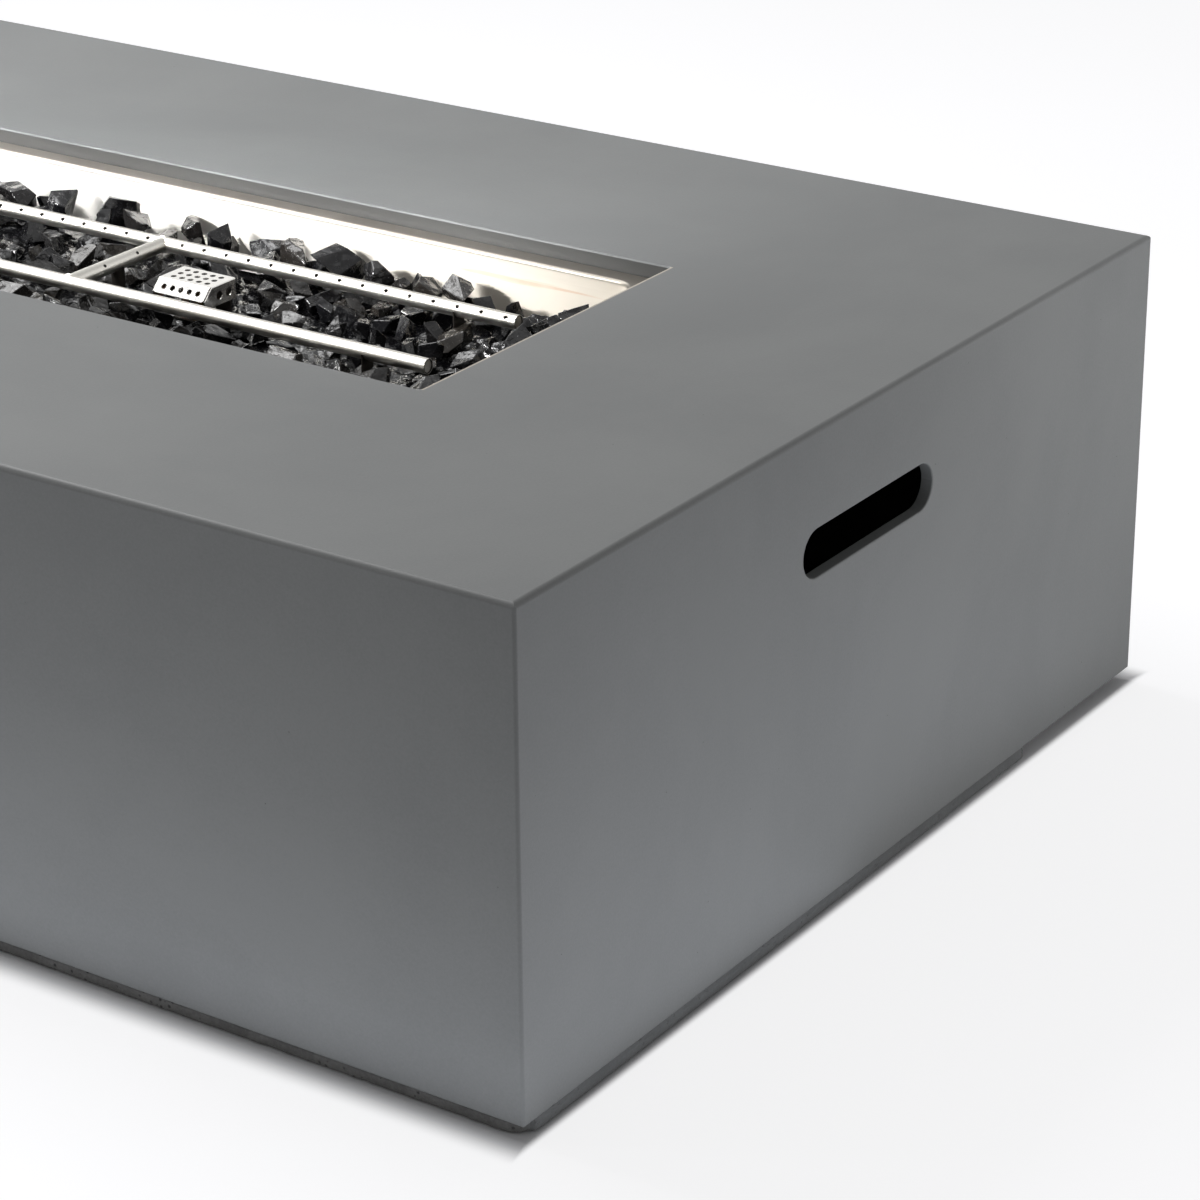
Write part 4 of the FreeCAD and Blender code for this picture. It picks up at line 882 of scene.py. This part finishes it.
def foot_strip():
    """The cast strip under the walls: rough, and worn and chipped below, more so to the left.

    Along the right end it is nearly flush with the wall, and set back near the far corner.
    """
    bm = voxels_of("foot_ring")
    low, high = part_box("foot_ring")
    for vert in bm.verts:
        x, y, z = vert.co
        rough = noise.noise(vert.co * 90.0) + 0.6 * noise.noise(vert.co * 260.0)
        wave = noise.noise(Vector((x * 17.0, y * 17.0, 5.0)))
        chip = noise.noise(Vector((x * 55.0, y * 55.0, 9.0)))
        front = y < low.y + STRIP_EDGE
        right = x > high.x - STRIP_EDGE and not front
        depth = min(high.x - x, x - low.x, high.y - y, y - low.y)
        near = held(1.0 - depth / STRIP_EDGE)
        vert.co.z += STRIP_ROUGH * rough * (z < high.z - STRIP_TOP)
        if z < WORN_PART * high.z:
            left = held((high.x - WORN_LEFT_FROM - x) / WORN_LEFT_RUN)
            worn = (WORN + WORN_LEFT * left + WORN_WAVE * max(wave - WORN_WAVE_FROM, 0.0)
                    + WORN_CHIPS * max(chip - WORN_CHIPS_FROM, 0.0))
            vert.co.z = max(vert.co.z, worn * near)
        if front:
            vert.co.y += (FRONT_ROUGH * rough + FRONT_BACK) * near
        if right:
            cut = held((y - END_CUT_FROM) / END_CUT_RUN)
            vert.co.x += END_OUT * near - END_CUT * cut + END_ROUGH * rough
            vert.co.z += END_UP * near * (z > high.z - END_TOP)
    for vert in bm.verts:
        vert.co.z = max(vert.co.z, 0.0)
    bmesh.ops.recalc_face_normals(bm, faces=bm.faces)
    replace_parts(add_piece("foot_strip", bm, "rough_concrete"), "foot_ring")


foot_strip()


# Weld beads
BEAD_RADIUS = 1.3 * MM
BEAD_OUT = 0.2 * MM
BEAD_SEAT = 0.6 * MM
BEAD_TURNS = 40
BEAD_WAVES = 9
BEAD_WAVE = 0.35 * MM
BEAD_RIPPLES = 26
BEAD_RIPPLE = 0.02


def weld_beads():
    """A rippled bead round each end of the cross tube."""
    lower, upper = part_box("burner_cross_tube")
    radius = (upper.z - lower.z) / 2
    bm = bmesh.new()
    for side in (-1, 1):
        start = len(bm.verts)
        ring = bmesh.ops.create_circle(bm, segments=8, radius=BEAD_RADIUS)["verts"]
        bmesh.ops.rotate(bm, verts=ring, matrix=Matrix.Rotation(math.radians(90), 3, "Z"))
        bmesh.ops.translate(bm, verts=ring, vec=(radius + BEAD_OUT, 0, 0))
        edges = [edge for edge in bm.edges if edge.verts[0] in ring]
        bmesh.ops.spin(bm, geom=ring + edges, cent=(0, 0, 0), axis=(0, 1, 0), angle=math.tau,
                       steps=BEAD_TURNS, use_merge=True)
        bm.verts.ensure_lookup_table()
        bead = bm.verts[start:]
        for vert in bead:
            turn = math.atan2(vert.co.z, vert.co.x)
            vert.co.y += BEAD_WAVE * math.sin(BEAD_WAVES * turn)
            vert.co *= 1.0 + BEAD_RIPPLE * math.sin(BEAD_RIPPLES * turn)
        seat = Vector(((lower.x + upper.x) / 2, side * (upper.y - BEAD_SEAT),
                       (upper.z + lower.z) / 2))
        bmesh.ops.translate(bm, verts=bead, vec=seat)
    bmesh.ops.recalc_face_normals(bm, faces=bm.faces)
    add_piece("weld_beads", bm, "burner_steel", smooth=True)


weld_beads()


# Stage. The floor's tones are those beside the table and further off, and END_SHRINK is how many
# times sooner the one gives way to the other at the table's ends. The light that the floor throws
# back on the table falls off between two distances from its middle.
FLOOR_RADIUS = 40.0
FLOOR_DROP = 0.2 * MM
FLOOR_GLOW = 0.80
FLOOR_FAR_TONE = (0.37, 0.37, 0.395)
FLOOR_EDGE_TONE = (0.90, 0.90, 0.92)
EDGE_REACH = 30.0 * MM
END_SHRINK = 3.5
BOUNCE_FROM = 0.9
BOUNCE_TO = 1.9
BOUNCE_NEAR = 0.92
BOUNCE_FAR = 0.30
WORLD_LIGHT = 0.20
OVERHEAD_GLOSS = 0.45
GLOSS_FROM = 0.44
GLOSS_TO = 0.74
COOL = (0.93, 0.97, 1.06)
MOUTH_LAMPS = 5
MOUTH_LAMPS_FROM = -1.0
MOUTH_LAMP_PITCH = 0.25
MOUTH_LAMP_AHEAD = 0.29


def add_floor():
    """A white floor: plain paint beside the table, where it is shaded, and a glow further off."""
    bm = bmesh.new()
    bmesh.ops.create_circle(bm, cap_ends=True, segments=96, radius=FLOOR_RADIUS)
    bmesh.ops.translate(bm, vec=(0, 0, -FLOOR_DROP), verts=bm.verts)
    mesh = bpy.data.meshes.new("floor")
    bm.to_mesh(mesh)
    bm.free()
    floor = bpy.data.objects.new("floor", mesh)
    bpy.context.scene.collection.objects.link(floor)
    finish = Finish("white_floor", {"Roughness": 0.9, "Emission Color": (*WHITE, 1.0),
                                    "Specular IOR Level": 0.0})
    path = finish.node("ShaderNodeLightPath")
    seen = path["Is Camera Ray"] + path["Is Glossy Ray"] + path["Is Transmission Ray"]
    seen = finish.between(seen, 0.0, 1.0)
    beyond_end = abs(finish.axis("X")) - SHELL.x
    beyond_side = abs(finish.axis("Y")) - SHELL.y
    gap = finish.math("MAXIMUM", beyond_end * END_SHRINK, beyond_side)
    away = finish.between(gap, 0.0, EDGE_REACH)
    flat = finish.stretched((1.0, 1.0, 0.0))
    reach = finish.node("ShaderNodeVectorMath", {"operation": "LENGTH"}, {0: flat})["Value"]
    bounce = finish.between(reach, BOUNCE_FROM, BOUNCE_TO, BOUNCE_NEAR, BOUNCE_FAR)
    unseen_tone = finish.mix(bounce, BLACK, WHITE)
    seen_tone = finish.mix(away, FLOOR_EDGE_TONE, FLOOR_FAR_TONE)
    finish.feed("Base Color", finish.mix(seen, unseen_tone, seen_tone))
    finish.feed("Emission Strength", FLOOR_GLOW * away * seen)
    mesh.materials.append(finish.material)


def add_world():
    """White to the eye, greyer overhead in reflections, and an even light on everything."""
    world = bpy.data.worlds.new("studio")
    bpy.context.scene.world = world
    world.use_nodes = True
    tree = world.node_tree

    def add(kind, inputs, **settings):
        made = tree.nodes.new(kind)
        for words, value in settings.items():
            setattr(made, words, value)
        for words, value in inputs.items():
            if isinstance(value, bpy.types.NodeSocket):
                tree.links.new(value, made.inputs[words])
            else:
                made.inputs[words].default_value = value
        return made.outputs

    path = add("ShaderNodeLightPath", {})
    direction = add("ShaderNodeTexCoord", {})["Generated"]
    height = add("ShaderNodeSeparateXYZ", {0: direction})["Z"]
    gloss = add("ShaderNodeMapRange",
                {"Value": height, "From Min": GLOSS_FROM, "From Max": GLOSS_TO, "To Min": 1.0,
                 "To Max": OVERHEAD_GLOSS})["Result"]
    share = add("ShaderNodeMath", {0: path["Is Glossy Ray"], 1: path["Is Transmission Ray"]},
                operation="MAXIMUM")["Value"]
    dim = add("ShaderNodeMix", {"Factor": share, "A": WORLD_LIGHT, "B": gloss})["Result"]
    seen = path["Is Camera Ray"]
    strength = add("ShaderNodeMix", {"Factor": seen, "A": dim, "B": 1.0})["Result"]
    background = tree.nodes["Background"]
    background.inputs["Color"].default_value = (*WHITE, 1.0)
    tree.links.new(strength, background.inputs["Strength"])


def add_lamp(name, place, aim, size, power, tint=WHITE, spread=180):
    """An area lamp that the camera doesn't see; size in metres, power in watts."""
    data = bpy.data.lights.new(name, "AREA")
    data.shape = "RECTANGLE"
    data.size, data.size_y = size
    data.energy = power
    data.color = tint
    data.spread = math.radians(spread)
    lamp = bpy.data.objects.new(name, data)
    lamp.location = place
    lamp.visible_camera = False
    lamp.rotation_mode = "QUATERNION"
    lamp.rotation_quaternion = (Vector(aim) - Vector(place)).to_track_quat("-Z", "Y")
    bpy.context.scene.collection.objects.link(lamp)


def add_floor_lamp(name, x, y, size, power):
    """A cool lamp that lies on the floor and shines up."""
    add_lamp(name, (x, y, 1.0 * MM), (x, y, 1.0), size, power, COOL)


# The mouth lamps shine into the opening, and the low ones light the lower part of the walls
add_camera()
add_floor()
add_world()
add_lamp("key", (-1.5, 0.1, 2.3), (0.0, -0.1, 0.3), (1.5, 1.5), 44.0)
add_lamp("overhead", (0.0, 0.3, 2.6), (0.0, 0.0, 0.3), (2.0, 2.0), 9.0)
add_lamp("front_left", (-1.2, -1.5, 1.5), (0.0, 0.0, 0.3), (0.3, 0.3), 1.8)
for number in range(MOUTH_LAMPS):
    x = MOUTH_LAMPS_FROM + MOUTH_LAMP_PITCH * number
    add_lamp("mouth_" + str(number), (x, -0.31, 0.62), (x + MOUTH_LAMP_AHEAD, 0.15, 0.366),
             (0.2, 0.03), 0.26, spread=36)
add_floor_lamp("low_near", 0.0, -0.60, (2.0, 0.16), 0.9)
add_floor_lamp("low_wall", 0.0, -0.505, (2.0, 0.06), 0.25)
add_floor_lamp("low_right", 0.98, -0.25, (0.45, 0.5), 0.54)
add_floor_lamp("low_right_far", 1.10, 0.25, (0.6, 0.5), 0.48)
add_lamp("end_far", (1.45, 0.80, 0.38), (0.735, 0.42, 0.36), (0.3, 0.3), 0.3, spread=60)
add_lamp("side_low", (2.6, 0.6, 0.25), (0.7, 0.0, 0.2), (1.6, 0.4), 1.2)
bpy.context.scene.view_settings.view_transform = "Standard"
